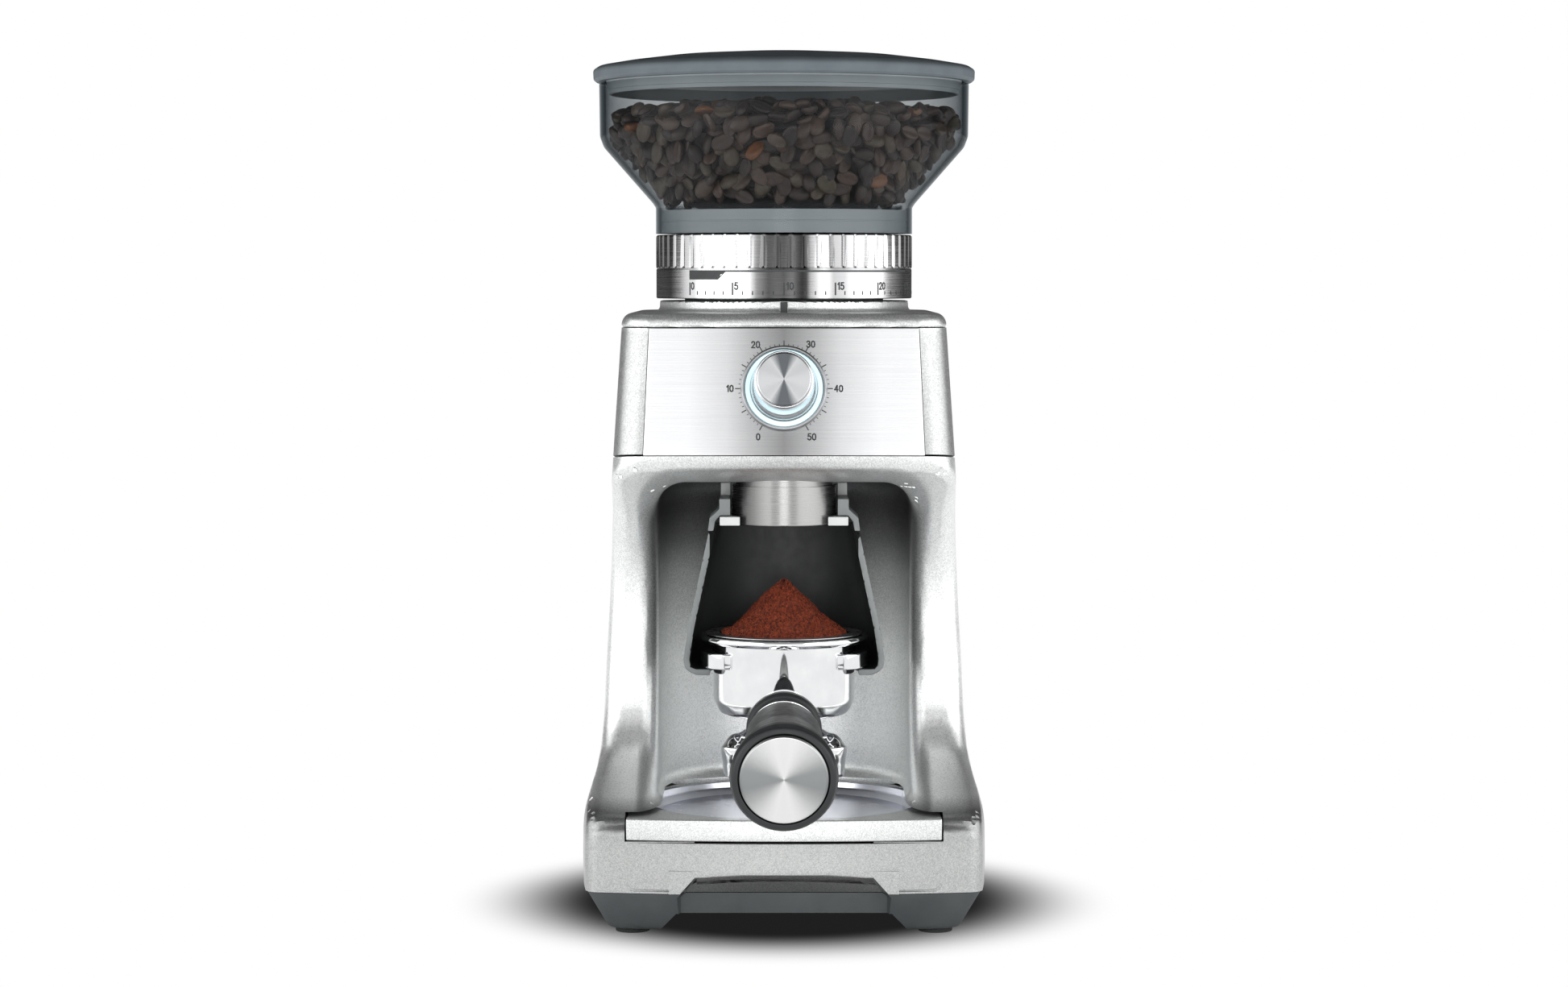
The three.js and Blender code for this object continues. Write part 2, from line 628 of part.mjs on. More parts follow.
// Front view of the cradle's wall, from the bottom of one side to the other, grown inwards by d.
function cradleOutline(d) {
  const shape = new THREE.Shape();
  shape.moveTo(45 - d, 116);
  shape.lineTo(33.4 - d, 174.6);
  shape.lineTo(-33.4 + d, 174.6);
  shape.lineTo(-45 + d, 116);
  shape.quadraticCurveTo(-45.6 + d, 109 + d, -38 + d / 2, 109 + d);
  shape.lineTo(38 - d / 2, 109 + d);
  shape.quadraticCurveTo(45.6 - d, 109 + d, 45 - d, 116);
  return shape;
}

// Plan of the cradle: straight sides at the front, half round behind the portafilter.
function uShape(radius, front) {
  const shape = new THREE.Shape();
  shape.moveTo(-radius, front);
  shape.lineTo(-radius, OUTLET_Y);
  shape.absarc(0, OUTLET_Y, radius, Math.PI, 0, true);
  shape.lineTo(radius, front);
  return shape;
}

// A hood open to the front and below, with a hook at each side of its roof.
function cradle() {
  const outer = prismY(cradleOutline(0), -54, 10, 5).intersect(prismZ(uShape(46, -60), 100, 176, 9));
  const inner = prismY(cradleOutline(CRADLE_WALL), -70, 10, 5).intersect(
    prismZ(uShape(46 - CRADLE_WALL, -80), 100, 180, 9),
  );
  const roof = box(-31.5, 31.5, -80, 20, 172, 180);
  const fork = prismZ(uShape(33, -80), 100, 114, 9);
  const hanger = shapeOf([
    [28.9, 188], [28.9, 183], [33.4, 179], [34, 173.5], [31.4, 173.5], [30.6, 178], [28.9, 180.4],
    [23.8, 180.4], [23.8, 188],
  ]);
  const right = prismY(hanger, -54, -22, 4);
  return join(cut(outer, inner, roof, fork), right, right.mirror([1, 0, 0]));
}

// The ledge on each side of the outlet that the cradle hangs from.
function cradleLug(side) {
  const lug = cut(
    box(19.4, 28.6, -58, -24, 176.4, 180.1),
    disc(OUTLET_RADIUS + GAP, 170, 200, { y: OUTLET_Y, segments: FINE }),
  );
  const post = box(24.2, 28.6, -20.5, -10, 176.4, CEILING - GAP);
  const rail = join(lug, post, box(24.2, 28.6, -26, -10, 176.4, 180.1));
  return side > 0 ? rail : rail.mirror([1, 0, 0]);
}

// ---------------------------------------------------------------- portafilter
function filterBody() {
  const cup = turned(
    [[31.6, RIM_TOP - 3.4], [35.6, RIM_TOP - 3.4], [37.4, RIM_TOP - 2.6], [37.8, RIM_TOP - 1.2],
      [37.2, RIM_TOP], [30.2, RIM_TOP], [29.8, 94], [9, 93], [9, 90.6], [26, 90.6], [30, 92.4],
      [31.8, 97]],
    { y: OUTLET_Y, segments: ROUND },
  );
  const reach = new THREE.Shape();
  reach.absarc(0, 0, 38.4, -0.62, 0.34, false);
  reach.absarc(0, 0, 31, 0.34, -0.62, true);
  const ear = prismZ(reach, 112.2, 119.6, 6).translate([0, OUTLET_Y, 0]);
  const neck = alongHandle(turned([[0, -30], [12, -30], [10, -0.4], [0, -0.4]], { segments: SMALL }));
  const bowl = disc(30.8, 80, 130, { y: OUTLET_Y, segments: FINE });
  return join(cup, ear, ear.mirror([1, 0, 0]), cut(neck, bowl));
}

// From the handle's own frame, with its axis along +Z, to where it lies.
function alongHandle(solid) {
  const lay = new THREE.Matrix4().makeRotationX(Math.PI / 2 + HANDLE_TILT);
  return solidOf(geometryOf(solid).applyMatrix4(lay.setPosition(...HANDLE_START)));
}

const filterBasket = () =>
  turned(
    [[28.6, 97], [29.4, 97], [29.6, RIM_TOP + 0.2], [35.4, RIM_TOP + 0.2], [35.4, RIM_TOP + 0.9],
      [28.9, RIM_TOP + 0.9], [28.4, 98], [0, 98], [0, 97]],
    { y: OUTLET_Y, segments: FINE },
  );

const coffeeHeap = () =>
  turned(
    [[0, 98.4], [28, 98.4], [28.4, 125.4], [27.6, 127.6], [20, 131.6], [11, 141.5], [4.5, 149.6],
      [0, 151.6]],
    { y: OUTLET_Y, segments: ROUND },
  );

function doubleSpout() {
  const hub = disc(8.6, 78, 93, { y: OUTLET_Y, segments: SMALL });
  const arm = prismY(
    shapeOf([[-26, 70], [26, 70], [24, 77], [15, 83], [-15, 83], [-24, 77]]),
    OUTLET_Y - 7.5,
    OUTLET_Y + 7.5,
  );
  const nozzle = (x) =>
    turned([[0, 62], [6.6, 62], [7.6, 72], [0, 72]], { x, y: OUTLET_Y, segments: SMALL });
  return join(hub, arm, nozzle(-20), nozzle(20));
}

// Handle pieces are turned about +Z and laid along the handle's axis by their group.
const handleRing = (profile) => turned(profile, { segments: FINE });
const HANDLE = {
  pf_collar: [[10.4, 0], [15.4, 0], [16.4, 1.4], [16.4, 6.2], [15.4, 7.4], [10.4, 7.4]],
  pf_ferrule: [[0, 0.6], [10, 0.6], [10, 7.8], [14.2, 7.8], [15, 18], [15.4, 27], [13, 27], [11, 34],
    [0, 34]],
  pf_grip: [[11.6, 36], [14, 27.4], [16.4, 27.4], [16.8, 40], [17.4, 66], [19.6, 92], [21.8, 106],
    [22, 111], [21, 114.2], [18.4, 115], [18.4, 111], [0, 111], [0, 36]],
  pf_end_cap: [[0, 111.4], [18, 111.4], [18, 115.6], [17.2, 116.2], [0, 116.6]],
};

// ---------------------------------------------------------------- timer knob, in its tilted frame
const KNOB = {
  knob_bezel: [[17, 0.3], [19.3, 0.3], [19.3, 1.8], [18.6, 2.6], [17, 2.6]],
  light_ring: [[14.9, -1.2], [16.8, -1.2], [16.8, 1.6], [14.9, 1.6]],
  rotary_encoder: [[3.3, -6.2], [8, -6.2], [8, -1.6], [3.3, -1.6]],
};
const timeKnob = () =>
  turned(
    [[3.3, 3], [14, 3], [14.2, 4.2], [13.6, 20.5], [12.6, 22.4], [12, 22.4], [12, 21], [0, 21],
      [0, 17], [3.3, 17]],
    { segments: FINE },
  );
const knobCap = () => disc(11.8, 21.2, 22.9, { segments: FINE });
const knobSpindle = () => disc(3, -5.8, 16.6, { segments: SMALL });
const controlBoard = () =>
  cut(box(-30, 30, -16, 16, -8.4, -6.8), disc(3.9, -10, -5, { segments: SMALL }));

// ---------------------------------------------------------------- assembly
const grinder = new THREE.Group();
const assembly = new THREE.Group();
assembly.position.y = BURR_AXIS_Y;
grinder.add(assembly);

function place(name, solid, look, parent = assembly) {
  const mesh = new THREE.Mesh(geometryOf(solid), look);
  mesh.name = name;
  parent.add(mesh);
  return mesh;
}

// Housing
place("base_plate", basePlate(), material.darkPlastic);
for (const [corner, [x, y]] of Object.entries(PADS)) {
  const pad = place(`foot_pad_${corner}`, disc(7.5, 0, FOOT_TOP, { segments: SMALL }), material.rubber);
  pad.position.set(x, y, 0);
}
place("body_shell", bodyShell(), material.silverPaint);
place("base_front_cover", baseFrontCover(), material.silverPaint);
place("head_shell", headShell(), material.silverPaint);
place("front_panel", frontPanel(), material.brushedSteel);
place("top_cover", topCover(), material.silverPaint);
place("grind_pointer", pointerBar(0), material.darkPlastic);
place("cord_gland", rod(7, 132, 144, GLAND_Z), material.blackPlastic);
place("power_board", box(-36, 36, 58, 112, BOARD_Z, BOARD_Z + 1.6), material.circuit);

// Drive
place("gear_case", gearCase(), material.darkPlastic);
place("gear_cover", gearCover(), material.darkPlastic);
place("motor_can", motorCan(), material.steel);
place("idler_pin", disc(2.3, CASE_FLOOR, CASE_TOP + 3, { y: IDLER_Y, segments: SMALL }), material.steel);
place("lower_bearing", ring(4.2, 9, CASE_FLOOR, 203, { segments: SMALL }), material.bronze);
place("upper_bearing", ring(4.2, 11, 246.2, 250, { segments: SMALL }), material.bronze);
place("motor_shaft", disc(2.8, 116, 211.5, { y: MOTOR_Y, segments: SMALL }), material.steel);
const pinion = place("motor_pinion", gear(PINION_TEETH, 3, ...LOW_GEARS), material.steel);
pinion.position.y = MOTOR_Y;
pinion.rotation.z = -Math.PI / 2 + Math.PI / PINION_TEETH;
const idler = place("idler_gear", idlerGear(), material.nylon);
idler.position.y = IDLER_Y;
const wheel = place("output_gear", outputGear(), material.nylon);
wheel.rotation.z = Math.PI / 2;
place("drive_shaft", disc(SHAFT_RADIUS, 198.6, 282.4, { segments: SMALL }), material.steel);
place("sweeper", sweeper(), material.nylon);
place("cone_burr", coneBurr(), material.steel);
place("burr_nut", cut(disc(6.4, 279.3, 282.2, { segments: 6 }), shaftHole()), material.steel);

// Grinding chamber and outlet
place("burr_chamber", burrChamber(), material.darkPlastic);
place("burr_carrier", burrCarrier(), material.darkPlastic);
place("ring_burr", ringBurr(), material.steel);
place("grounds_chute", groundsChute(), material.darkPlastic);
place("outlet_collar", outletCollar(), material.brushedSteel);
place("cradle_lug_left", cradleLug(-1), material.lightGrey);
place("cradle_lug_right", cradleLug(1), material.lightGrey);

// Dial, hopper and lid
place("grind_dial_sleeve", dialSleeve(), material.brushedSteel);
place("grind_dial_core", dialCore(), material.darkPlastic);
place("hopper_bowl", hopperBowl(), material.smokedPlastic);
place("bean_fill", beanFill(), material.beans);
place("bean_gate", beanGate(), material.darkPlastic);
place("lid", lid(), material.lidPlastic);
place("lid_seal", lidSeal(), material.darkPlastic);

// Timer knob, about the control panel's normal
const knobFrame = new THREE.Group();
knobFrame.position.set(0, panelY(KNOB_Z), KNOB_Z);
knobFrame.rotation.x = Math.PI / 2 - PANEL_TILT;
assembly.add(knobFrame);
const knobLooks = { knob_bezel: "brushedSteel", light_ring: "lampPlastic", rotary_encoder: "blackPlastic" };
for (const [name, profile] of Object.entries(KNOB)) {
  place(name, turned(profile, { segments: FINE }), material[knobLooks[name]], knobFrame);
}
place("control_board", controlBoard(), material.circuit, knobFrame);
place("knob_spindle", knobSpindle(), material.steel, knobFrame);
place("time_knob", timeKnob(), material.brushedSteel, knobFrame);
place("knob_cap", knobCap(), material.brushedSteel, knobFrame);

// Tray, cradle and portafilter
place("catch_tray", catchTray(), material.silverPaint);
place("tray_dish", trayDish(), material.steel);
place("portafilter_cradle", cradle(), material.blackPlastic);
place("pf_body", filterBody(), material.chrome);
place("pf_basket", filterBasket(), material.steel);
place("pf_spout", doubleSpout(), material.chrome);
place("ground_coffee", coffeeHeap(), material.grounds);
const handleFrame = new THREE.Group();
handleFrame.position.set(...HANDLE_START);
handleFrame.rotation.x = Math.PI / 2 + HANDLE_TILT;
assembly.add(handleFrame);
const handleLooks = {
  pf_collar: "blackPlastic", pf_ferrule: "chrome", pf_grip: "blackPlastic", pf_end_cap: "brushedSteel",
};
for (const [name, profile] of Object.entries(HANDLE)) {
  place(name, handleRing(profile), material[handleLooks[name]], handleFrame);
}

export default grinder;
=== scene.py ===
"""Looks of the burr coffee grinder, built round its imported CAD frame.

Shapes are written in millimetres about the burr axis and placed in metres in the frame.
"""

import math

import bmesh
import bpy
import numpy as np
from mathutils import Matrix, Vector


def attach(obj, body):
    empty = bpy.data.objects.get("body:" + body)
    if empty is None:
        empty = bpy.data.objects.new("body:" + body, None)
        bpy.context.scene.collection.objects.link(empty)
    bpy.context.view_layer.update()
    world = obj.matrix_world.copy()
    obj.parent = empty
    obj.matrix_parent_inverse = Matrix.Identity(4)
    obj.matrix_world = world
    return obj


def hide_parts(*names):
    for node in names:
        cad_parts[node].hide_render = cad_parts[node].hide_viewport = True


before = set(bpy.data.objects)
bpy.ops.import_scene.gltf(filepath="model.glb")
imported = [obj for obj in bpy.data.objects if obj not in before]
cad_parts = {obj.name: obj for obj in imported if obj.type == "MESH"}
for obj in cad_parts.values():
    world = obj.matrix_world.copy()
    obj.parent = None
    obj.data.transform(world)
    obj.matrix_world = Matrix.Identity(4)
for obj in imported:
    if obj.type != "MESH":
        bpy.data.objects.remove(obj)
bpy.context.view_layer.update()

MM = 0.001
AXIS_Y = 36.2  # burr axis behind the frame's origin, as in the CAD
OUTLET_Y = -42.0
BASE_TOP = 18.7
TRAY_BOTTOM = 42.0
TRAY_TOP = 51.4
TRAY_HALF = 68.8
TRAY_CENTRE = -38.0
DECK = 52.5
CEILING = 195.5
BAY_Y = -19.0
BAY_RADIUS = 57.0
# Painted light and shade: (height in millimetres, tone) stops that lighten or darken the paint of the
# housing's outside, the head, the lid and the bay.
OUTSIDE_LIGHT_AND_SHADE = [(20, 0.66), (40, 0.66), (51, 0.40), (53, 0.40), (58, 1.5), (185, 1.25), (198, 1.2),
                 (209, 1.2),
                 (212, 0.78), (262, 0.78), (266, 1.15)]
HEAD_LIGHT_AND_SHADE = [(150, 0.78), (262, 0.78), (266, 1.15), (300, 1.15)]
LID_LIGHT_AND_SHADE = [(374, 1.8), (379, 1.8), (382, 0.75), (385, 0.8), (390, 0.95)]
BAY_LIGHT_AND_SHADE = [(52, 1.4), (110, 1.4), (130, 1.2), (150, 0.95), (165, 0.5), (178, 0.28), (196, 0.25)]
SEAM_FRONT_Z = 209.0
SEAM_FRONT_Y = -86.0
SEAM_SLOPE = 0.084
HEAD_TOP = 264.4
PANEL_TILT = math.radians(12.2)
KNOB_Z = 238.0
HANDLE_TILT = math.radians(3.2)
TURN = 2 * math.pi
KNURLS = 60
SETTING = math.radians(4.6)  # dial angle per grind setting
PRINT_GAP = 0.015
PRINT_THICKNESS = 0.05

# The front bows: it falls back by BOW at BOW_HALF from the middle.
HEAD_BOW = 3.0
HEAD_BOW_HALF = 62.0
BASE_BOW = 7.0
BASE_BOW_HALF = 84.0

# The head's plan at two heights.
HEAD_LOW = dict(z=190.0, half=76.4, front=-90.1, back=112.5)
HEAD_HIGH = dict(z=HEAD_TOP, half=72.0, front=-74.0, back=102.0)

# The bay's painted light and shade take over from the outside's between these depths.
BAY_SHADE_START = -13.8
BAY_SHADE_FULL = -1.8

# Stage, light and camera, in metres.
SHADOW_HALF = (0.119, 0.125)
SHADOW_CENTRE = 0.03
SHADOW_EDGE = (0.68, 1.34)
SHADOW_TONE = 0.014
FLOOR_GLOW = 1.0
WORLD_FRONT = 1.2
WORLD_BACK = 0.08
WORLD_ABOVE = 0.06
BOX_AZIMUTH = math.radians(66)
BOX_AWAY = 1.5
BOX_HEIGHT = 0.55
BOX_SIZE = (2.3, 1.5)
BOX_GLOW = 1.5
CAMERA_AWAY = 1650  # millimetres in front of the burr axis
CAMERA_HEIGHT = 0.288
CAMERA_PITCH = 3.5
CAMERA_LENS = 82.4


# ---------------------------------------------------------------- mesh helpers
def new_object(name, vertices, faces, body, material, smooth_angle=None, nodes=()):
    """A piece from millimetre vertices about the burr axis, riding on a CAD body."""
    points = np.asarray(vertices, dtype=float) + (0, AXIS_Y, 0)
    mesh = bpy.data.meshes.new(name)
    mesh.from_pydata((points * MM).tolist(), [], [tuple(map(int, face)) for face in faces])
    mesh.validate()
    obj = bpy.data.objects.new(name, mesh)
    bpy.context.scene.collection.objects.link(obj)
    finish_piece(obj, body, material, smooth_angle, nodes)
    return obj


def finish_piece(obj, body, material, smooth_angle=None, nodes=()):
    """Gives a piece its material, smooth shading and body, and hides the CAD nodes that it stands for."""
    mesh = obj.data
    if material:
        mesh.materials.clear()
        mesh.materials.append(material)
    if smooth_angle is not None:
        mesh.shade_smooth()
        mesh.set_sharp_from_angle(angle=math.radians(smooth_angle))
    if nodes:
        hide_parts(*nodes)
    if body:
        if smooth_angle is not None:
            normals = obj.modifiers.new("flat faces stay flat", "WEIGHTED_NORMAL")
            normals.keep_sharp = True
        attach(obj, body)


def rounded(profile, closed=False):
    """A [radius, height, fillet] profile with each filleted corner as an arc of points."""
    points = []
    count = len(profile)
    for i, corner in enumerate(profile):
        fillet = corner[2] if len(corner) > 2 else 0
        here = np.array(corner[:2], dtype=float)
        inner = 0 < i < count - 1
        if not fillet or not (inner or closed):
            points.append(here)
            continue
        before = np.array(profile[i - 1][:2], dtype=float) - here
        after = np.array(profile[(i + 1) % count][:2], dtype=float) - here
        u, v = before / np.linalg.norm(before), after / np.linalg.norm(after)
        angle = math.acos(float(np.clip(u @ v, -1, 1)))
        reach = fillet / math.tan(angle / 2)
        limit = 0.49 * min(np.linalg.norm(before), np.linalg.norm(after))
        reach = min(reach, limit)
        start, end = here + u * reach, here + v * reach
        steps = max(2, int(round((math.pi - angle) / 0.22)))
        for k in range(steps + 1):
            t = k / steps
            points.append((1 - t) ** 2 * start + 2 * t * (1 - t) * here + t * t * end)
    return np.array(points)


def turned(profile, segments=96):
    """Vertices and quads of a profile turned about Z. A profile off the axis closes on itself."""
    closed = profile[0][0] > 0
    points = rounded(profile, closed)
    angles = np.arange(segments) * TURN / segments
    vertices, rows = [], []
    for radius, height in points:
        if radius < 1e-6:
            rows.append([len(vertices)] * segments)
            vertices.append((0, 0, height))
            continue
        rows.append(list(range(len(vertices), len(vertices) + segments)))
        vertices.extend(
            (radius * math.cos(a), radius * math.sin(a), height) for a in angles
        )
    faces = []
    pairs = list(zip(rows, rows[1:]))
    if closed:
        pairs.append((rows[-1], rows[0]))
    for low, high in pairs:
        for i in range(segments):
            j = (i + 1) % segments
            corners = [low[i], low[j], high[j], high[i]]
            face = list(dict.fromkeys(corners))
            if len(face) > 2:
                faces.append(face)
    return np.array(vertices), faces


def outward(vertices, faces):
    """The same faces, turned over if the closed surface faces inwards."""
    v = np.asarray(vertices, dtype=float)
    volume = sum(
        float(np.dot(v[f[0]], np.cross(v[f[k]], v[f[k + 1]])))
        for f in faces
        for k in range(1, len(f) - 1)
    )
    return faces if volume > 0 else [face[::-1] for face in faces]


def lathe(name, profile, body, material, nodes=(), place=None, segments=96, angle=32):
    """A turned piece, optionally moved by a 4x4 placing matrix in millimetres."""
    vertices, faces = turned(profile, segments)
    if place is not None:
        vertices = transform(vertices, place)
    return new_object(name, vertices, outward(vertices, faces), body, material, angle, nodes)


def transform(vertices, matrix):
    m = np.array(matrix)
    return np.asarray(vertices) @ m[:3, :3].T + m[:3, 3]


def at(x=0.0, y=0.0, z=0.0):
    return Matrix.Translation((x, y, z))


def prism(outline, low, high):
    """A flat outline of (a, b) points between two heights along the third axis."""
    count = len(outline)
    vertices = [(a, b, low) for a, b in outline] + [(a, b, high) for a, b in outline]
    faces = [list(range(count))[::-1], list(range(count, 2 * count))]
    for i in range(count):
        j = (i + 1) % count
        faces.append([i, j, count + j, count + i])
    return np.array(vertices, dtype=float), faces


def prism_along_y(outline, front, back):
    """A prism of (x, z) points that runs front to back."""
    vertices, faces = prism(outline, front, back)
    vertices = vertices[:, [0, 2, 1]]
    return vertices, outward(vertices, faces)


def prism_along_x(outline, half):
    """A prism of (y, z) points that runs across."""
    vertices, faces = prism(outline, -half, half)
    vertices = vertices[:, [2, 0, 1]]
    return vertices, outward(vertices, faces)


def block(x, y, z):
    return prism([(x[0], y[0]), (x[1], y[0]), (x[1], y[1]), (x[0], y[1])], *z)


def carve(obj, *cutters, operation="DIFFERENCE"):
    """Cuts (vertices, faces) meshes out of a piece that isn't riding on a body yet."""
    for vertices, faces in cutters:
        tool = new_object("cutter", vertices, outward(vertices, faces), None, None)
        modifier = obj.modifiers.new("cut", "BOOLEAN")
        modifier.operation = operation
        modifier.solver = "MANIFOLD"
        modifier.object = tool
        graph = bpy.context.evaluated_depsgraph_get()
        mesh = bpy.data.meshes.new_from_object(obj.evaluated_get(graph))
        obj.modifiers.clear()
        old, obj.data = obj.data, mesh
        bpy.data.meshes.remove(old)
        bpy.data.meshes.remove(tool.data)


# ---------------------------------------------------------------- surfaces from distance fields
def round_and(a, b, r):
    """What lies inside both fields, with its outer edge rounded to radius r."""
    return np.minimum(-r, np.maximum(a, b)) + np.hypot(
        np.maximum(r + a, 0), np.maximum(r + b, 0)
    )


def round_or(a, b, r):
    """What lies inside either field, with a fillet of radius r in the corner."""
    return -round_and(-a, -b, r)


def field_mesh(field, low, high, step):
    """The zero surface of a distance field, as vertices and outward quads."""
    axes = [np.arange(a, b + step, step) for a, b in zip(low, high)]
    x, y, z = np.meshgrid(*axes, indexing="ij")
    values = field(x, y, z)
    inside = values < 0
    shape = np.array(values.shape) - 1
    total = np.zeros((*shape, 3))
    hits = np.zeros(shape)
    quads = []
    corner = np.stack(np.meshgrid(*[np.arange(n) for n in shape], indexing="ij"), -1)
    for axis in range(3):
        head = [slice(None)] * 3
        tail = [slice(None)] * 3
        head[axis], tail[axis] = slice(0, -1), slice(1, None)
        a, b = values[tuple(head)], values[tuple(tail)]
        crossing = inside[tuple(head)] != inside[tuple(tail)]
        share = np.where(crossing, a / np.where(crossing, a - b, 1), 0)
        others = [k for k in range(3) if k != axis]
        for du in (0, 1):
            for dv in (0, 1):
                pick = [slice(None)] * 3
                pick[others[0]] = slice(du, du + shape[others[0]])
                pick[others[1]] = slice(dv, dv + shape[others[1]])
                hit = crossing[tuple(pick)]
                hits += hit
                total[..., axis] += share[tuple(pick)] * hit
                total[..., others[0]] += du * hit
                total[..., others[1]] += dv * hit
        quads.append((axis, crossing, inside[tuple(head)]))
    used = hits > 0
    index = np.full(shape, -1)
    index[used] = np.arange(used.sum())
    points = (corner[used] + total[used] / hits[used][:, None]) * step + np.array(low)
    faces = []
    for axis, crossing, starts_inside in quads:
        u, v = (axis + 1) % 3, (axis + 2) % 3
        where = np.argwhere(crossing)
        keep = (where[:, u] > 0) & (where[:, v] > 0)
        keep &= (where[:, u] < shape[u]) & (where[:, v] < shape[v])
        where = where[keep]
        forward = starts_inside[tuple(where.T)]
        ring = []
        for du, dv in ((-1, -1), (0, -1), (0, 0), (-1, 0)):
            cell = where.copy()
            cell[:, u] += du
            cell[:, v] += dv
            ring.append(index[tuple(cell.T)])
        ring = np.stack(ring, 1)
        ring[~forward] = ring[~forward][:, ::-1]
        faces.extend(ring.tolist())
    for _ in range(4):
        points = settle(field, points, 0.35 * step)
    return points, faces


def settle(field, points, most):
    """Moves points a little way onto the field's zero surface."""
    reach = 0.02
    here = field(*points.T)
    slope = np.empty_like(points)
    for axis in range(3):
        step = np.zeros(3)
        step[axis] = reach
        slope[:, axis] = (field(*(points + step).T) - field(*(points - step).T)) / (2 * reach)
    size = np.maximum((slope**2).sum(1), 1e-3)
    move = -(here / size)[:, None] * slope
    length = np.linalg.norm(move, axis=1)
    return points + move * np.minimum(1, most / np.maximum(length, 1e-9))[:, None]


def box2(x, y, half, front, back, front_radius, back_radius):
    """Distance to a rectangle in plan, with its front and back corners rounded."""
    middle = (front + back) / 2
    radius = np.where(y < middle, front_radius, back_radius)
    qx = np.abs(x) - half + radius
    qy = np.abs(y - middle) - (back - front) / 2 + radius
    return np.minimum(np.maximum(qx, qy), 0) + np.hypot(np.maximum(qx, 0), np.maximum(qy, 0)) - radius


def curve(keys):
    """A smooth function through (height, value) pairs."""
    knots, values = np.array(keys, dtype=float).T
    slopes = np.gradient(values, knots)

    def read(at_z):
        z = np.clip(at_z, knots[0], knots[-1])
        i = np.clip(np.searchsorted(knots, z) - 1, 0, len(knots) - 2)
        gap = knots[i + 1] - knots[i]
        t = (z - knots[i]) / gap
        a = values[i] * (2 * t**3 - 3 * t**2 + 1) + slopes[i] * gap * (t**3 - 2 * t**2 + t)
        b = values[i + 1] * (3 * t**2 - 2 * t**3) + slopes[i + 1] * gap * (t**3 - t**2)
        return a + b

    return read


# ---------------------------------------------------------------- materials
def graph(name, **sockets):
    """A principled material with constants on its own sockets: (material, nodes, links, shader)."""
    made = bpy.data.materials.new(name)
    made.use_nodes = True
    nodes, links = made.node_tree.nodes, made.node_tree.links
    shader = nodes["Principled BSDF"]
    for key, value in sockets.items():
        shader.inputs[key.replace("_", " ")].default_value = value
    return made, nodes, links, shader


def texture_space(nodes, links, scale=(1, 1, 1)):
    """Object coordinates in metres, stretched by scale."""
    coordinates = nodes.new("ShaderNodeTexCoord")
    mapping = nodes.new("ShaderNodeMapping")
    mapping.inputs["Scale"].default_value = scale
    links.new(coordinates.outputs["Object"], mapping.inputs["Vector"])
    return mapping.outputs["Vector"]


def noise(nodes, links, vector, scale, detail=2.0):
    texture = nodes.new("ShaderNodeTexNoise")
    texture.inputs["Scale"].default_value = scale
    texture.inputs["Detail"].default_value = detail
    links.new(vector, texture.inputs["Vector"])
    return texture.outputs["Fac"]


def stepped(nodes, links, value, stops):
    """A colour that runs through (place, colour) stops as value goes from 0 to 1."""
    mixer = nodes.new("ShaderNodeValToRGB")
    elements = mixer.color_ramp.elements
    while len(elements) < len(stops):
        elements.new(0.5)
    for element, (place, colour) in zip(elements, stops):
        element.position = place
        element.color = (*colour, 1)
    links.new(value, mixer.inputs["Fac"])
    return mixer.outputs["Color"]


def ramp(nodes, links, value, low, high, start=0.3, end=0.7):
    """A colour or grey that runs from low to high as value goes from start to end."""
    return stepped(nodes, links, value, [(start, low), (end, high)])


def grey(value):
    return (value, value, value)


def bump(nodes, links, shader, height, strength, distance):
    lift = nodes.new("ShaderNodeBump")
    lift.inputs["Strength"].default_value = strength
    lift.inputs["Distance"].default_value = distance
    links.new(height, lift.inputs["Height"])
    links.new(lift.outputs["Normal"], shader.inputs["Normal"])


def silver_paint(name, shade=None):
    """Metallic paint: a fine bright flake in a satin silver coat. shade(nodes, links) paints light and shade
    into it, lighter or darker from place to place, to suit the view from the front."""
    made, nodes, links, shader = graph(
        name, Metallic=0.82, Roughness=0.36, Coat_Weight=0.12, Coat_Roughness=0.3
    )
    space = texture_space(nodes, links)
    flake = nodes.new("ShaderNodeTexVoronoi")
    flake.inputs["Scale"].default_value = 2600
    links.new(space, flake.inputs["Vector"])
    tone = ramp(nodes, links, flake.outputs["Color"], (0.50, 0.515, 0.51), (0.80, 0.81, 0.80), 0.1, 0.95)
    if shade:
        tone = multiplied(nodes, links, tone, shade(nodes, links))
    links.new(tone, shader.inputs["Base Color"])
    gloss = ramp(nodes, links, noise(nodes, links, space, 700), grey(0.31), grey(0.42))
    links.new(gloss, shader.inputs["Roughness"])
    bump(nodes, links, shader, noise(nodes, links, space, 1500, 1.0), 0.12, 0.0001)
    return made


def brushed_steel(name, scale, low, high, roughness, sheen=None):
    """Stainless steel brushed in fine lines, long where scale is small. sheen(nodes, links) paints
    reflections into it, lighter or darker from place to place, to suit the view from the front."""
    made, nodes, links, shader = graph(name, Metallic=1.0)
    lines = noise(nodes, links, texture_space(nodes, links, scale), 1.0, 3.0)
    tone = ramp(nodes, links, lines, low, high, 0.25, 0.75)
    if sheen:
        tone = multiplied(nodes, links, tone, sheen(nodes, links))
    links.new(tone, shader.inputs["Base Color"])
    gloss = ramp(nodes, links, lines, grey(roughness - 0.06), grey(roughness + 0.07))
    links.new(gloss, shader.inputs["Roughness"])
    bump(nodes, links, shader, lines, 0.10, 0.00008)
    return made


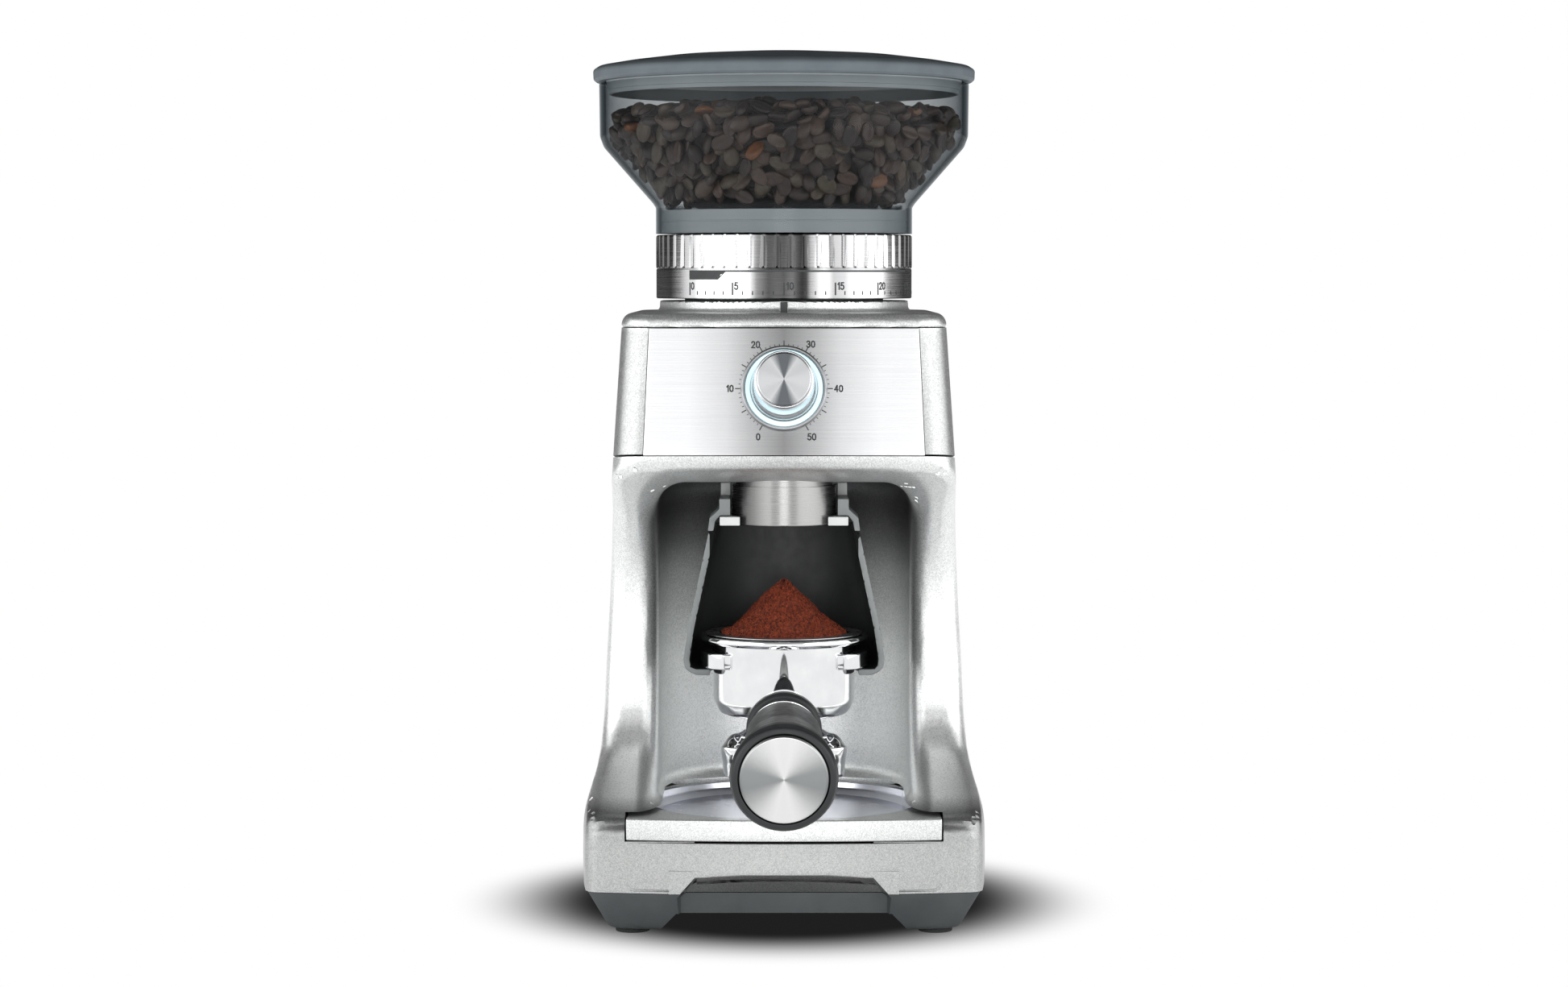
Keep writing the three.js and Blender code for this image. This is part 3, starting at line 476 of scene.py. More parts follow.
def spun_steel(name, centre, axis_tilt, low, high, roughness, fan=(0.0, 1.0)):
    """Steel turned on a lathe: fine rings about an axis, and a painted reflection: a fan of light and dark
    in its colour.
    fan gives where it goes from low, at the sides, to high, above and below."""
    made, nodes, links, shader = graph(name, Metallic=1.0, Roughness=roughness, Anisotropic=0.85)
    coordinates = nodes.new("ShaderNodeTexCoord")
    frame_in = nodes.new("ShaderNodeMapping")
    frame_in.vector_type = "TEXTURE"
    frame_in.inputs["Location"].default_value = centre
    frame_in.inputs["Rotation"].default_value = (axis_tilt, 0, 0)
    links.new(coordinates.outputs["Object"], frame_in.inputs["Vector"])
    split = nodes.new("ShaderNodeSeparateXYZ")
    links.new(frame_in.outputs["Vector"], split.inputs["Vector"])
    around = computed(nodes, links, "ARCTAN2", split.outputs["X"], split.outputs["Y"])
    wave = computed(nodes, links, "COSINE", computed(nodes, links, "MULTIPLY", around, 2.0))
    share = shifted(nodes, links, wave, 0.5, 0.5)
    links.new(ramp(nodes, links, share, low, high, *fan), shader.inputs["Base Color"])
    tangent = nodes.new("ShaderNodeTangent")
    tangent.direction_type = "RADIAL"
    tangent.axis = "Y"
    links.new(tangent.outputs["Tangent"], shader.inputs["Tangent"])
    rings = nodes.new("ShaderNodeTexNoise")
    rings.noise_dimensions = "1D"
    rings.inputs["Scale"].default_value = 5200
    rings.inputs["Detail"].default_value = 2
    from_axis = plan_distance(nodes, links, split.outputs["X"], split.outputs["Y"])
    links.new(from_axis, rings.inputs["W"])
    bump(nodes, links, shader, rings.outputs["Fac"], 0.08, 0.00006)
    return made


def multiplied(nodes, links, first, second, share=1.0):
    mixer = nodes.new("ShaderNodeMix")
    mixer.data_type = "RGBA"
    mixer.blend_type = "MULTIPLY"
    mixer.inputs[0].default_value = share
    links.new(first, mixer.inputs[6])
    links.new(second, mixer.inputs[7])
    return mixer.outputs[2]


def position(nodes, links):
    """Where a point of the object is along x, y and z, in metres."""
    coordinates = nodes.new("ShaderNodeTexCoord")
    split = nodes.new("ShaderNodeSeparateXYZ")
    links.new(coordinates.outputs["Object"], split.inputs["Vector"])
    return [split.outputs[axis] for axis in "XYZ"]


def graded(nodes, links, value, stops):
    """A grey that changes along a value in metres: stops are (millimetres, tone)."""
    first, last = stops[0][0], stops[-1][0]
    span = last - first
    scaled = shifted(nodes, links, value, 1 / (span * MM), -first / span)
    return stepped(nodes, links, scaled, [((place - first) / span, grey(tone)) for place, tone in stops])


def banded(stops):
    """Painted reflections: grey bands from left to right that stand for reflections seen from the front."""
    return lambda nodes, links: graded(nodes, links, position(nodes, links)[0], stops)


def fade(nodes, links, value, start, end):
    """From 0 to 1 as a value in metres goes from start to end, in millimetres."""
    mapped = nodes.new("ShaderNodeMapRange")
    mapped.interpolation_type = "SMOOTHSTEP"
    mapped.inputs["From Min"].default_value = start * MM
    mapped.inputs["From Max"].default_value = end * MM
    links.new(value, mapped.inputs["Value"])
    return mapped.outputs["Result"]


def lid_shade(nodes, links):
    """Painted light and shade: the lid's top is darker than its side."""
    return graded(nodes, links, position(nodes, links)[2], LID_LIGHT_AND_SHADE)


def head_shade(nodes, links):
    """Painted shade: the head is a little darker than the cover on top of it, with painted light along its
    top edge.
    """
    return graded(nodes, links, position(nodes, links)[2], HEAD_LIGHT_AND_SHADE)


def housing_shade(nodes, links):
    """Painted light and shade by height: paler low in the bay and dark under its ceiling; a little darker
    round the base.
    """
    x, y, z = position(nodes, links)
    behind = computed(nodes, links, "MAXIMUM", shifted(nodes, links, y, 1.0, -(BAY_Y + AXIS_Y) * MM), 0.0)
    near = fade(nodes, links, plan_distance(nodes, links, x, behind), BAY_RADIUS + 6.0, BAY_RADIUS + 1.0)
    deep = fade(nodes, links, y, BAY_SHADE_START, BAY_SHADE_FULL)
    inside = computed(nodes, links, "MULTIPLY", near, deep)
    mixer = nodes.new("ShaderNodeMix")
    mixer.data_type = "RGBA"
    links.new(inside, mixer.inputs[0])
    links.new(graded(nodes, links, z, OUTSIDE_LIGHT_AND_SHADE), mixer.inputs[6])
    links.new(graded(nodes, links, z, BAY_LIGHT_AND_SHADE), mixer.inputs[7])
    return mixer.outputs[2]


def computed(nodes, links, operation, *values):
    """A math node's result. Each value is a socket or a plain number."""
    node = nodes.new("ShaderNodeMath")
    node.operation = operation
    for socket, value in zip(node.inputs, values):
        if isinstance(value, float):
            socket.default_value = value
        else:
            links.new(value, socket)
    return node.outputs["Value"]


def shifted(nodes, links, value, scale, offset):
    """value * scale + offset."""
    return computed(nodes, links, "MULTIPLY_ADD", value, scale, offset)


def plan_distance(nodes, links, x, y):
    """The distance of x, y from the origin."""
    flat = nodes.new("ShaderNodeCombineXYZ")
    links.new(x, flat.inputs["X"])
    links.new(y, flat.inputs["Y"])
    length = nodes.new("ShaderNodeVectorMath")
    length.operation = "LENGTH"
    links.new(flat.outputs["Vector"], length.inputs[0])
    return length.outputs["Value"]


def moulded(name, low, high, roughness, grain=900, strength=0.2, shade=None, **sockets):
    """Plastic or rubber with a fine moulded grain. shade paints light and shade into it, as for
    silver_paint.
    """
    made, nodes, links, shader = graph(name, **sockets)
    space = texture_space(nodes, links)
    tone = ramp(nodes, links, noise(nodes, links, space, 60, 3.0), low, high)
    if shade:
        tone = multiplied(nodes, links, tone, shade(nodes, links))
    links.new(tone, shader.inputs["Base Color"])
    gloss = ramp(nodes, links, noise(nodes, links, space, 250), grey(roughness - 0.05),
                 grey(roughness + 0.05))
    links.new(gloss, shader.inputs["Roughness"])
    bump(nodes, links, shader, noise(nodes, links, space, grain, 2.0), strength, 0.00012)
    return made


def polished(name, low, high, roughness):
    """Chrome or bare metal with a faint unevenness in its polish."""
    made, nodes, links, shader = graph(name, Metallic=1.0)
    space = texture_space(nodes, links)
    cloud = noise(nodes, links, space, 90, 3.0)
    links.new(ramp(nodes, links, cloud, low, high), shader.inputs["Base Color"])
    gloss = ramp(nodes, links, cloud, grey(roughness * 0.8), grey(roughness * 1.3))
    links.new(gloss, shader.inputs["Roughness"])
    return made


def smoked_plastic():
    """Clear plastic with a grey smoke tint. It shows what is behind it without bending the view."""
    made, nodes, links, shader = graph(
        "smoked_plastic", Roughness=0.06, IOR=1.5, Base_Color=(0.030, 0.035, 0.038, 1), Alpha=0.12
    )
    space = texture_space(nodes, links)
    gloss = ramp(nodes, links, noise(nodes, links, space, 40), grey(0.04), grey(0.08))
    links.new(gloss, shader.inputs["Roughness"])
    tint = nodes.new("ShaderNodeVolumeAbsorption")
    tint.inputs["Color"].default_value = (0, 0.07, 0.11, 1)
    tint.inputs["Density"].default_value = 92
    links.new(tint.outputs["Volume"], nodes["Material Output"].inputs["Volume"])
    made.surface_render_method = "BLENDED"
    return made


def bean_skin():
    """Roasted beans: each one its own brown, from nearly black to a rare russet, with an oily sheen."""
    made, nodes, links, shader = graph("bean_skin", Specular_IOR_Level=0.5, Coat_Weight=0.12,
                                       Coat_Roughness=0.35)
    tint = nodes.new("ShaderNodeAttribute")
    tint.attribute_name = "tint"
    brown = stepped(nodes, links, tint.outputs["Fac"], [
        (0.0, (0.034, 0.022, 0.018)), (0.45, (0.078, 0.048, 0.037)), (0.75, (0.120, 0.074, 0.055)),
        (0.95, (0.115, 0.092, 0.062)), (1.0, (0.26, 0.10, 0.04)),
    ])
    space = texture_space(nodes, links)
    mottle = ramp(nodes, links, noise(nodes, links, space, 420, 4.0), grey(0.45), grey(1.3))
    links.new(multiplied(nodes, links, brown, mottle, 0.6), shader.inputs["Base Color"])
    gloss = ramp(nodes, links, noise(nodes, links, space, 600), grey(0.30), grey(0.5))
    links.new(gloss, shader.inputs["Roughness"])
    bump(nodes, links, shader, noise(nodes, links, space, 700, 3.0), 0.25, 0.0003)
    return made


def ground_coffee():
    """Loose reddish-brown grounds with darker and lighter grains."""
    made, nodes, links, shader = graph("ground_coffee_grains", Roughness=0.9)
    space = texture_space(nodes, links)
    grains = nodes.new("ShaderNodeTexVoronoi")
    grains.inputs["Scale"].default_value = 1100
    links.new(space, grains.inputs["Vector"])
    tone = ramp(nodes, links, grains.outputs["Color"], (0.060, 0.0085, 0.0025), (0.27, 0.042, 0.010),
                0.05, 0.95)
    links.new(tone, shader.inputs["Base Color"])
    bump(nodes, links, shader, grains.outputs["Distance"], 0.6, 0.0005)
    return made


def lit_plastic():
    made, nodes, links, shader = graph("lit_plastic", Roughness=0.4, Emission_Strength=0.55)
    space = texture_space(nodes, links)
    glow = ramp(nodes, links, noise(nodes, links, space, 80), (0.58, 0.76, 0.82), (0.66, 0.83, 0.88))
    links.new(glow, shader.inputs["Base Color"])
    links.new(glow, shader.inputs["Emission Color"])
    return made


SILVER = silver_paint("silver_paint")
# The housing's paint: the silver paint with painted light and shade by height and in the bay.
HOUSING = silver_paint("housing_paint_painted_shade", housing_shade)
# The head's paint: the silver paint darkened as painted shade.
HEAD_PAINT_PAINTED_SHADE = silver_paint("head_paint_painted_shade", head_shade)
# The panel's brushed steel, with painted reflections: darker bands in the middle, lighter at the sides.
PANEL_STEEL = brushed_steel(
    "panel_steel", (18, 18, 5200), (0.78, 0.79, 0.80), (0.90, 0.90, 0.91), 0.30,
    banded([(-62, 1.0), (-42, 1.0), (-25, 0.80), (-15, 0.56), (0, 0.31), (15, 0.56), (25, 0.80),
            (42, 1.0), (62, 1.0)]),
)
# The dial's brushed steel, with painted reflections in light and dark bands from left to right.
DIAL_STEEL = brushed_steel(
    "dial_steel", (30, 30, 4200), (0.72, 0.72, 0.73), (0.92, 0.92, 0.93), 0.24,
    banded([(-58.5, 0.12), (-51, 0.10), (-48, 0.45), (-40, 0.50), (-37, 0.85), (-17, 0.85), (-12, 0.28),
            (-7, 0.09),
            (0, 0.05), (4, 0.10), (8, 0.04), (10, 0.07), (12, 0.45), (18, 0.70), (22, 0.34), (27, 0.40),
            (31, 0.62),
            (44, 0.80), (50, 0.50), (54, 0.10), (58.5, 0.14)]),
)
SLATE = moulded("slate_plastic", (0.044, 0.052, 0.055), (0.058, 0.067, 0.070), 0.52)
# The lid's plastic, with painted light on its side and painted shade on its top.
LID_GREY = moulded("lid_grey", (0.068, 0.080, 0.088), (0.083, 0.097, 0.105), 0.46, 1400, 0.12, lid_shade,
                   Specular_IOR_Level=0.03)
SEAL_GREY = moulded("seal_grey", (0.40, 0.44, 0.46), (0.46, 0.50, 0.52), 0.5, 1400, 0.12)
BLACK = moulded("black_plastic", (0.020, 0.022, 0.022), (0.030, 0.032, 0.032), 0.45)
GRIP_BLACK = moulded("grip_black", (0.010, 0.012, 0.013), (0.016, 0.019, 0.020), 0.48, 1100, 0.10)
CRADLE_EDGE = moulded("cradle_edge", (0.17, 0.185, 0.185), (0.22, 0.235, 0.235), 0.42)
INK = moulded("ink", (0.030, 0.033, 0.034), (0.045, 0.048, 0.050), 0.6, 1800, 0.05)
RUBBER = moulded("rubber", (0.016, 0.017, 0.018), (0.026, 0.027, 0.028), 0.8, 700, 0.4)
LIGHT_GREY = moulded("light_grey_plastic", (0.60, 0.615, 0.61), (0.68, 0.69, 0.685), 0.45)
LINER_WHITE = moulded("liner_white", (0.90, 0.93, 0.95), (0.95, 0.97, 0.98), 0.5)
BOARD = moulded("circuit_board", (0.010, 0.075, 0.035), (0.016, 0.105, 0.05), 0.5, 500, 0.3)
NYLON = moulded("nylon", (0.60, 0.57, 0.48), (0.70, 0.67, 0.57), 0.55)
CHROME = polished("chrome", (0.80, 0.81, 0.82), (0.88, 0.885, 0.89), 0.05)
STEEL = polished("plain_steel", (0.42, 0.43, 0.44), (0.54, 0.55, 0.56), 0.28)
DISH_STEEL = polished("dish_steel", (0.80, 0.81, 0.90), (0.88, 0.89, 0.97), 0.22)
BEZEL_STEEL = polished("bezel_steel", (0.36, 0.37, 0.38), (0.44, 0.45, 0.46), 0.34)
BRONZE = polished("bronze", (0.42, 0.25, 0.09), (0.52, 0.32, 0.13), 0.35)
SMOKE = smoked_plastic()
BEAN = bean_skin()
GROUNDS = ground_coffee()
LAMP = lit_plastic()


# ---------------------------------------------------------------- housing
SIDE = curve([(18, 89.2), (35, 89.4), (50, 88.6), (58, 86.6), (64, 84.9), (72, 83.4), (82, 82.4),
              (110, 81.0), (147, 79.0), (184, 77.0), (214, 75.2)])
FRONT = curve([(18, -106), (35, -105.6), (52, -104.8), (60, -103), (100, -97), (147, -92), (190, -88.2),
               (214, -84.6)])
BACK = curve([(18, 139.6), (52, 137.5), (72, 132.5), (110, 126), (147, 120), (184, 114), (214, 109.4)])
SWEEP = curve([(50, -99), (52.5, -94), (55, -86), (58, -76), (62, -64), (67, -52.5), (73, -43.5),
               (80, -37.5),
               (90, -32.5), (102, -29.5), (120, -27.5), (140, -26.5), (156, -29.5), (170, -37.5),
               (181, -48.5),
               (189, -60), (195, -70), (201, -79.5), (209, -88)])


def front_shape(x, y):
    """How much narrower the lower housing is towards its front corners, and how far its front bows."""
    narrowing = 3.6 * np.clip((-62 - y) / 42, 0, 1) ** 1.4
    bow = BASE_BOW * np.clip(np.abs(x) / BASE_BOW_HALF, 0, 1.2) ** 2 * np.clip(-y / 60, 0, 1)
    return narrowing, bow


def outer_field(x, y, z):
    """The lower housing's outside: narrower towards its front corners, with a bowed front."""
    narrowing, bow = front_shape(x, y)
    low = np.clip((z - 40) / 60, 0, 1)
    return box2(np.abs(x) + narrowing, y - bow, SIDE(z), FRONT(z), BACK(z), 5 + 9 * low, 46.0)


def bay_field(x, y, z):
    """The half-round bay, with rounded corners under its ceiling and a cove round its floor."""
    plan = np.where(y > BAY_Y, np.hypot(x, y - BAY_Y), np.abs(x)) - BAY_RADIUS
    return round_and(round_and(plan, z - CEILING, 13), DECK - z, 5)


def sweep_field(y, z):
    """All that lies in front of the side walls' curved front edges."""
    slope = SWEEP(z + 0.5) - SWEEP(z - 0.5)
    return np.maximum((y - SWEEP(z)) / np.sqrt(1 + slope**2), 49.0 - z)


def body_field(x, y, z):
    edge = 5.0 + 4.0 * np.clip((z - 62) / 12, 0, 1) * np.clip((195 - z) / 15, 0, 1)
    solid = round_and(outer_field(x, y, z), -sweep_field(y, z), edge)
    solid = round_and(solid, -bay_field(x, y, z), 9.0)
    wall = np.maximum(solid, -(solid + 3.0))
    return np.maximum(wall, np.abs(z - 114.0) - 99.0)


def seam_height(y):
    return SEAM_FRONT_Z - SEAM_SLOPE * (y - SEAM_FRONT_Y)


def tray_outline(half, back, front, steps=48):
    arc = [math.pi * (1 - k / steps) for k in range(steps + 1)]
    points = [(half * math.cos(a), TRAY_CENTRE + back * math.sin(a)) for a in arc]
    return [(-half, front), *points, (half, front)]


def cover_outline(grow, low=20.2, high=41.3, radius=4.0):
    half = TRAY_HALF - 0.3 + grow
    low, high = low - grow, high + grow
    points = []
    for side, start in ((-1, math.pi), (1, 1.5 * math.pi)):
        for k in range(7):
            a = start + k * math.pi / 12
            points.append((side * (half - radius) + radius * math.cos(a),
                           low + radius + radius * math.sin(a)))
    return [(-half, high), *points, (half, high)]


def arch():
    """The raised arch in the middle of the front's lower edge, cut sloping back."""
    slices = []
    for y, foot, top, high in ((-98.4, 45.0, 42.5, 19.0), (-105.4, 47.5, 38.2, 27.3),
                               (-112, 47.5, 38.2, 27.3)):
        slices.append([(-foot, y, 5), (foot, y, 5), (foot, y, 17), (top, y, high), (-top, y, high),
                       (-foot, y, 17)])
    return skin(slices)


def arch_lip():
    """The silver slope behind the arch."""
    lip = new_object("arch_lip", *block((-50, 50), (-104.6, -96), (BASE_TOP + 0.3, 29)), None, HOUSING)
    carve(lip, arch())
    finish_piece(lip, "housing", HOUSING, 35)


def above_seam(lift):
    return prism_along_x([(-130, seam_height(-130) + lift), (180, seam_height(180) + lift), (180, 330),
                          (-130, 330)], 120)


def body_shell():
    vertices, faces = field_mesh(body_field, (-94, -112, 12), (94, 144, 216), 1.7)
    shell = new_object("housing_shell", vertices, faces, None, HOUSING)
    cover_hole = prism_along_y(cover_outline(0.45), -130, -101)
    tray_hole = prism(tray_outline(TRAY_HALF + 0.6, 66.4, -140), TRAY_BOTTOM - 0.5, DECK + 0.7)
    below = block((-120, 120), (-150, 180), (0, BASE_TOP + 0.3))
    bore = turned([(0, 180), (22.4, 180), (22.4, 205), (0, 205)], 64)
    gland = turned([(0, 120), (7.4, 120), (7.4, 160), (0, 160)], 32)
    gland = (transform(gland[0], Matrix.Translation((0, 0, 34)) @ Matrix.Rotation(-math.pi / 2, 4, "X")),
             gland[1])
    carve(shell, above_seam(-0.3), below, tray_hole, cover_hole, arch(), bore, gland)
    finish_piece(shell, "housing", HOUSING, 35, ["body_shell"])


def slab_faces(across, up):
    """Faces of a slab whose vertices are two grids of points, the front one first."""
    layer = across * up
    faces = []
    for back in (0, 1):
        for j in range(up - 1):
            for i in range(across - 1):
                a = back * layer + j * across + i
                quad = [a, a + 1, a + across + 1, a + across]
                faces.append(quad[::-1] if back else quad)
    edge = list(range(across)) + [j * across + across - 1 for j in range(1, up)]
    edge += [(up - 1) * across + i for i in range(across - 2, -1, -1)]
    edge += [j * across for j in range(up - 2, 0, -1)]
    for a, b in zip(edge, edge[1:] + edge[:1]):
        faces.append([b, a, a + layer, b + layer])
    return faces


def outer_slab(depth):
    """The front of the lower housing as a curved slab: (vertices, faces)."""
    xs = np.linspace(-TRAY_HALF - 2, TRAY_HALF + 2, 57)
    zs = np.linspace(17, 53, 10)
    grid = []
    for back in (0, 1):
        for z in zs:
            for x in xs:
                grid.append((x, float(FRONT(z)) + BASE_BOW * (abs(x) / BASE_BOW_HALF) ** 2 + back * depth,
                             z))
    vertices = np.array(grid)
    return vertices, outward(vertices, slab_faces(len(xs), len(zs)))


def base_front_cover():
    vertices, faces = outer_slab(3.2)
    cover = new_object("front_cover", vertices, faces, None, HOUSING)
    carve(cover, prism_along_y(cover_outline(-0.2), -130, -60), operation="INTERSECT")
    carve(cover, arch())
    bevel_edges(cover, 0.35)
    finish_piece(cover, "housing", HOUSING, 35, ["base_front_cover"])


def bevel_edges(obj, width, angle=40, segments=2):
    """Rounds a piece's sharp edges over by a small radius, in millimetres."""
    mesh = bmesh.new()
    mesh.from_mesh(obj.data)
    bmesh.ops.remove_doubles(mesh, verts=mesh.verts, dist=0.00002)
    bmesh.ops.dissolve_limit(mesh, angle_limit=math.radians(0.1), verts=mesh.verts, edges=mesh.edges)
    sharp = [e for e in mesh.edges if len(e.link_faces) == 2 and e.calc_face_angle() > math.radians(angle)]
    bmesh.ops.bevel(mesh, geom=sharp, offset=width * MM, segments=segments, profile=0.5, affect="EDGES")
    mesh.to_mesh(obj.data)
    mesh.free()


def head_bow(x):
    """How far the head's bowed front falls back beside its middle."""
    return HEAD_BOW * (min(abs(x), HEAD_BOW_HALF) / HEAD_BOW_HALF) ** 2


def head_loop(inset, level, steps=14):
    """One plan loop of the head. level gives the height at a given y."""
    corners = ((1, 14, -math.pi / 2, False), (1, 46, 0, True), (-1, 46, math.pi / 2, True),
               (-1, 14, math.pi, False))
    loop = []
    for sign, radius, start, back in corners:
        for k in range(steps + 1):
            a = start + k * math.pi / 2 / steps
            loop.append((sign, radius, math.cos(a), math.sin(a), back))
    points = []
    for sign, radius, c, s, back in loop:
        y = 0.0
        for _ in range(3):
            z = level(y)
            t = (z - HEAD_LOW["z"]) / (HEAD_HIGH["z"] - HEAD_LOW["z"])
            size = {k: HEAD_LOW[k] * (1 - t) + HEAD_HIGH[k] * t for k in ("half", "front", "back")}
            half, front, rear = size["half"] - inset, size["front"] + inset, size["back"] - inset
            r = radius - inset
            x = sign * (half - r) + r * c
            y = (rear - r if back else front + r) + r * s
        bow = head_bow(x) if y < 0 else 0
        points.append((x, y + (bow if not back else 0), z))
    front_edge = []
    left, right = points[-1], points[0]
    for k in range(1, 24):
        t = k / 24
        x = left[0] * (1 - t) + right[0] * t
        y = left[1] - head_bow(left[0]) + head_bow(x)
        front_edge.append((x, y, level(y)))
    return points + front_edge


def skin(loops, closed=False):
    """Quads between loops of equal length. An open stack is capped at both ends."""
    count = len(loops[0])
    vertices = [p for loop in loops for p in loop]
    faces = []
    rows = list(range(len(loops)))
    pairs = list(zip(rows, rows[1:])) + ([(rows[-1], rows[0])] if closed else [])
    for a, b in pairs:
        for i in range(count):
            j = (i + 1) % count
            faces.append([a * count + i, a * count + j, b * count + j, b * count + i])
    if not closed:
        faces.append([i for i in range(count)][::-1])
        faces.append([rows[-1] * count + i for i in range(count)])
    vertices = np.array(vertices, dtype=float)
    return vertices, outward(vertices, faces)


def head_level(share, lift=0.3):
    return lambda y: (seam_height(y) + lift) * (1 - share) + (HEAD_TOP - 0.15) * share


def panel_patch(grow, out, deep):
    """The control panel's slab: its front face stands out by a distance in front of the head's."""
    rows = np.linspace(0, 1, 9)
    columns = np.linspace(-1, 1, 41)
    grid = []
    for layer in (out, -deep):
        for t in rows:
            z = (SEAM_FRONT_Z + 0.1 - grow) * (1 - t) + (HEAD_TOP - 0.15 + grow) * t
            half = (61.6 + grow) * (1 - t) + (59.3 + grow) * t
            share = (z - HEAD_LOW["z"]) / (HEAD_HIGH["z"] - HEAD_LOW["z"])
            front = HEAD_LOW["front"] * (1 - share) + HEAD_HIGH["front"] * share
            for s in columns:
                x = half * s
                bow = head_bow(x)
                drop = -SEAM_SLOPE * bow if t == 0 else 0.0
                y = front + bow - layer * math.cos(PANEL_TILT)
                grid.append((x, y, z + drop + layer * math.sin(PANEL_TILT)))
    vertices = np.array(grid)
    return vertices, outward(vertices, slab_faces(len(columns), len(rows)))


def knob_place():
    """From the knob's own frame, axis along +Z, to its place on the leaning panel."""
    y = HEAD_HIGH["front"] - (HEAD_TOP - KNOB_Z) * math.tan(PANEL_TILT)
    return at(0, y, KNOB_Z) @ Matrix.Rotation(math.pi / 2 - PANEL_TILT, 4, "X")


def knob_cylinder(radius, low, high):
    vertices, faces = turned([(0, low), (radius, low), (radius, high), (0, high)], 72)
    return transform(vertices, knob_place()), faces


def head():
    outer = [head_loop(0, head_level(t)) for t in (0, 0.25, 0.5, 0.75, 1)]
    inner = [head_loop(3.0, head_level(t)) for t in (1, 0.5, 0)]
    vertices, faces = skin(outer + inner, closed=True)
    shell = new_object("head_casing", vertices, faces, None, HEAD_PAINT_PAINTED_SHADE)
    carve(shell, panel_patch(0.32, 3.0, 1.7), knob_cylinder(9.5, -15, 15))
    finish_piece(shell, "housing", HEAD_PAINT_PAINTED_SHADE, 35, ["head_shell"])
    vertices, faces = panel_patch(-0.02, 0.02, 1.4)
    panel = new_object("control_panel", vertices, faces, None, PANEL_STEEL)
    carve(panel, knob_cylinder(17.4, -15, 15))
    bevel_edges(panel, 0.25)
    finish_piece(panel, "housing", PANEL_STEEL, 30, ["front_panel"])


def top_field(x, y, z):
    """The top cover: a slab with a round upper edge, and the collar on a fillet."""
    bow = HEAD_BOW * np.clip(np.abs(x) / HEAD_BOW_HALF, 0, 1) ** 2 * (y < 0)
    plan = box2(x, y - bow, HEAD_HIGH["half"], HEAD_HIGH["front"], HEAD_HIGH["back"], 14.0, 46.0)
    slab = round_and(plan, z - 271.0, 5.5)
    collar = round_and(np.hypot(x, y) - 56.9, z - 276.0, 0.8)
    solid = np.maximum(round_or(slab, collar, 2.6), 264.7 - z)
    hollow = np.maximum(plan + 3.0, z - 267.8)
    return np.maximum(np.maximum(solid, -hollow), 47.0 - np.hypot(x, y))


def top_cover():
    vertices, faces = field_mesh(top_field, (-74, -76, 258), (74, 104, 279), 1.0)
    cover = new_object("top_casing", vertices, faces, None, SILVER)
    carve(cover, block((-120, 120), (-150, 180), (250, HEAD_TOP + 0.3)))
    carve(cover, block((-1.9, 1.9), (-63, -56.2), (269.4, 277)))
    finish_piece(cover, "housing", SILVER, 35, ["top_cover"])
    outline = [(1.6 * math.cos(a), 271.6 + 1.6 * math.sin(a)) for a in np.linspace(math.pi, TURN, 13)]
    outline += [(1.6, 275.7), (-1.6, 275.7)]
    vertices, faces = prism_along_y(outline, -59.4, -56.5)
    pointer = new_object("dial_pointer", vertices, faces, None, INK)
    bevel_edges(pointer, 0.3)
    finish_piece(pointer, "housing", INK, 35, ["grind_pointer"])


def base_field(x, y, z):
    lift = np.clip(z / 18.7, 0, 1)
    half = 77.5 + 11.0 * lift
    front = -100.5 - 5.0 * lift
    back = 131 + 8.2 * lift
    narrowing, bow = front_shape(x, y)
    middle = (front + back) / 2
    plan = box2(np.abs(x) + narrowing, y - bow - middle, half, front - middle, back - middle, 7.0, 44.0)
    return np.maximum(round_and(plan * 0.88, 2.3 - z, 1.2), z - 22.0)


def base():
    vertices, faces = field_mesh(base_field, (-93, -112, -2), (93, 146, 26), 1.6)
    plate = new_object("base_moulding", vertices, faces, None, SLATE)
    lengthways = prism_along_y([(-57.2, -1), (57.2, -1), (47, 9.8), (-47, 9.8)], -150, 180)
    across = prism_along_x([(-62, -1), (92, -1), (80, 9.8), (-50, 9.8)], 130)
    above = block((-130, 130), (-150, 190), (BASE_TOP, 40))
    carve(plate, above, lengthways, across, arch())
    finish_piece(plate, "housing", SLATE, 35, ["base_plate"])
    for corner, (x, y) in {"front_left": (-66.5, -86), "front_right": (66.5, -86),
                           "rear_left": (-58, 103), "rear_right": (58, 103)}.items():
        profile = [(0, 0), (5.6, 0), (5.6, 0.35), (6.2, 0.35), (6.2, 0), (7.5, 0, 0.4), (7.5, 2.1), (0, 2.1)]
        lathe(f"pad_{corner}", profile, "housing", RUBBER, [f"foot_pad_{corner}"], at(x, y, 0), 40)


# ---------------------------------------------------------------- hopper, lid and dial
def hopper():
    bowl = [(81.7, 374.6, 0.5), (84.5, 374.6, 0.5), (84.2, 350.5, 6), (82.3, 345.6, 5), (60.2, 320.4, 3),
            (58.7, 318.2, 2),
            (58.7, 306.3), (56.4, 306.3), (56.4, 317.4, 2), (57.6, 320.6, 2), (79.6, 346.4, 5),
            (81.6, 351.0, 6)]
    lathe("hopper_glass", bowl, "hopper", SMOKE, ["hopper_bowl"], segments=128)
    spigot = [(24.0, 287.2), (26.4, 287.2), (26.4, 303.2, 1.5), (54.4, 317.8), (54.4, 319.4),
              (24.0, 305.0, 1.5)]
    lathe("hopper_funnel", spigot, "hopper", SMOKE, segments=96)
    ring = [(54.6, 306.4), (56.2, 306.4), (56.2, 311.4), (55.9, 311.6), (55.9, 312.0), (56.2, 312.2),
            (56.2, 316.9), (54.6, 316.9)]
    lathe("hopper_neck_ring", ring, "hopper", SEAL_GREY, segments=128)


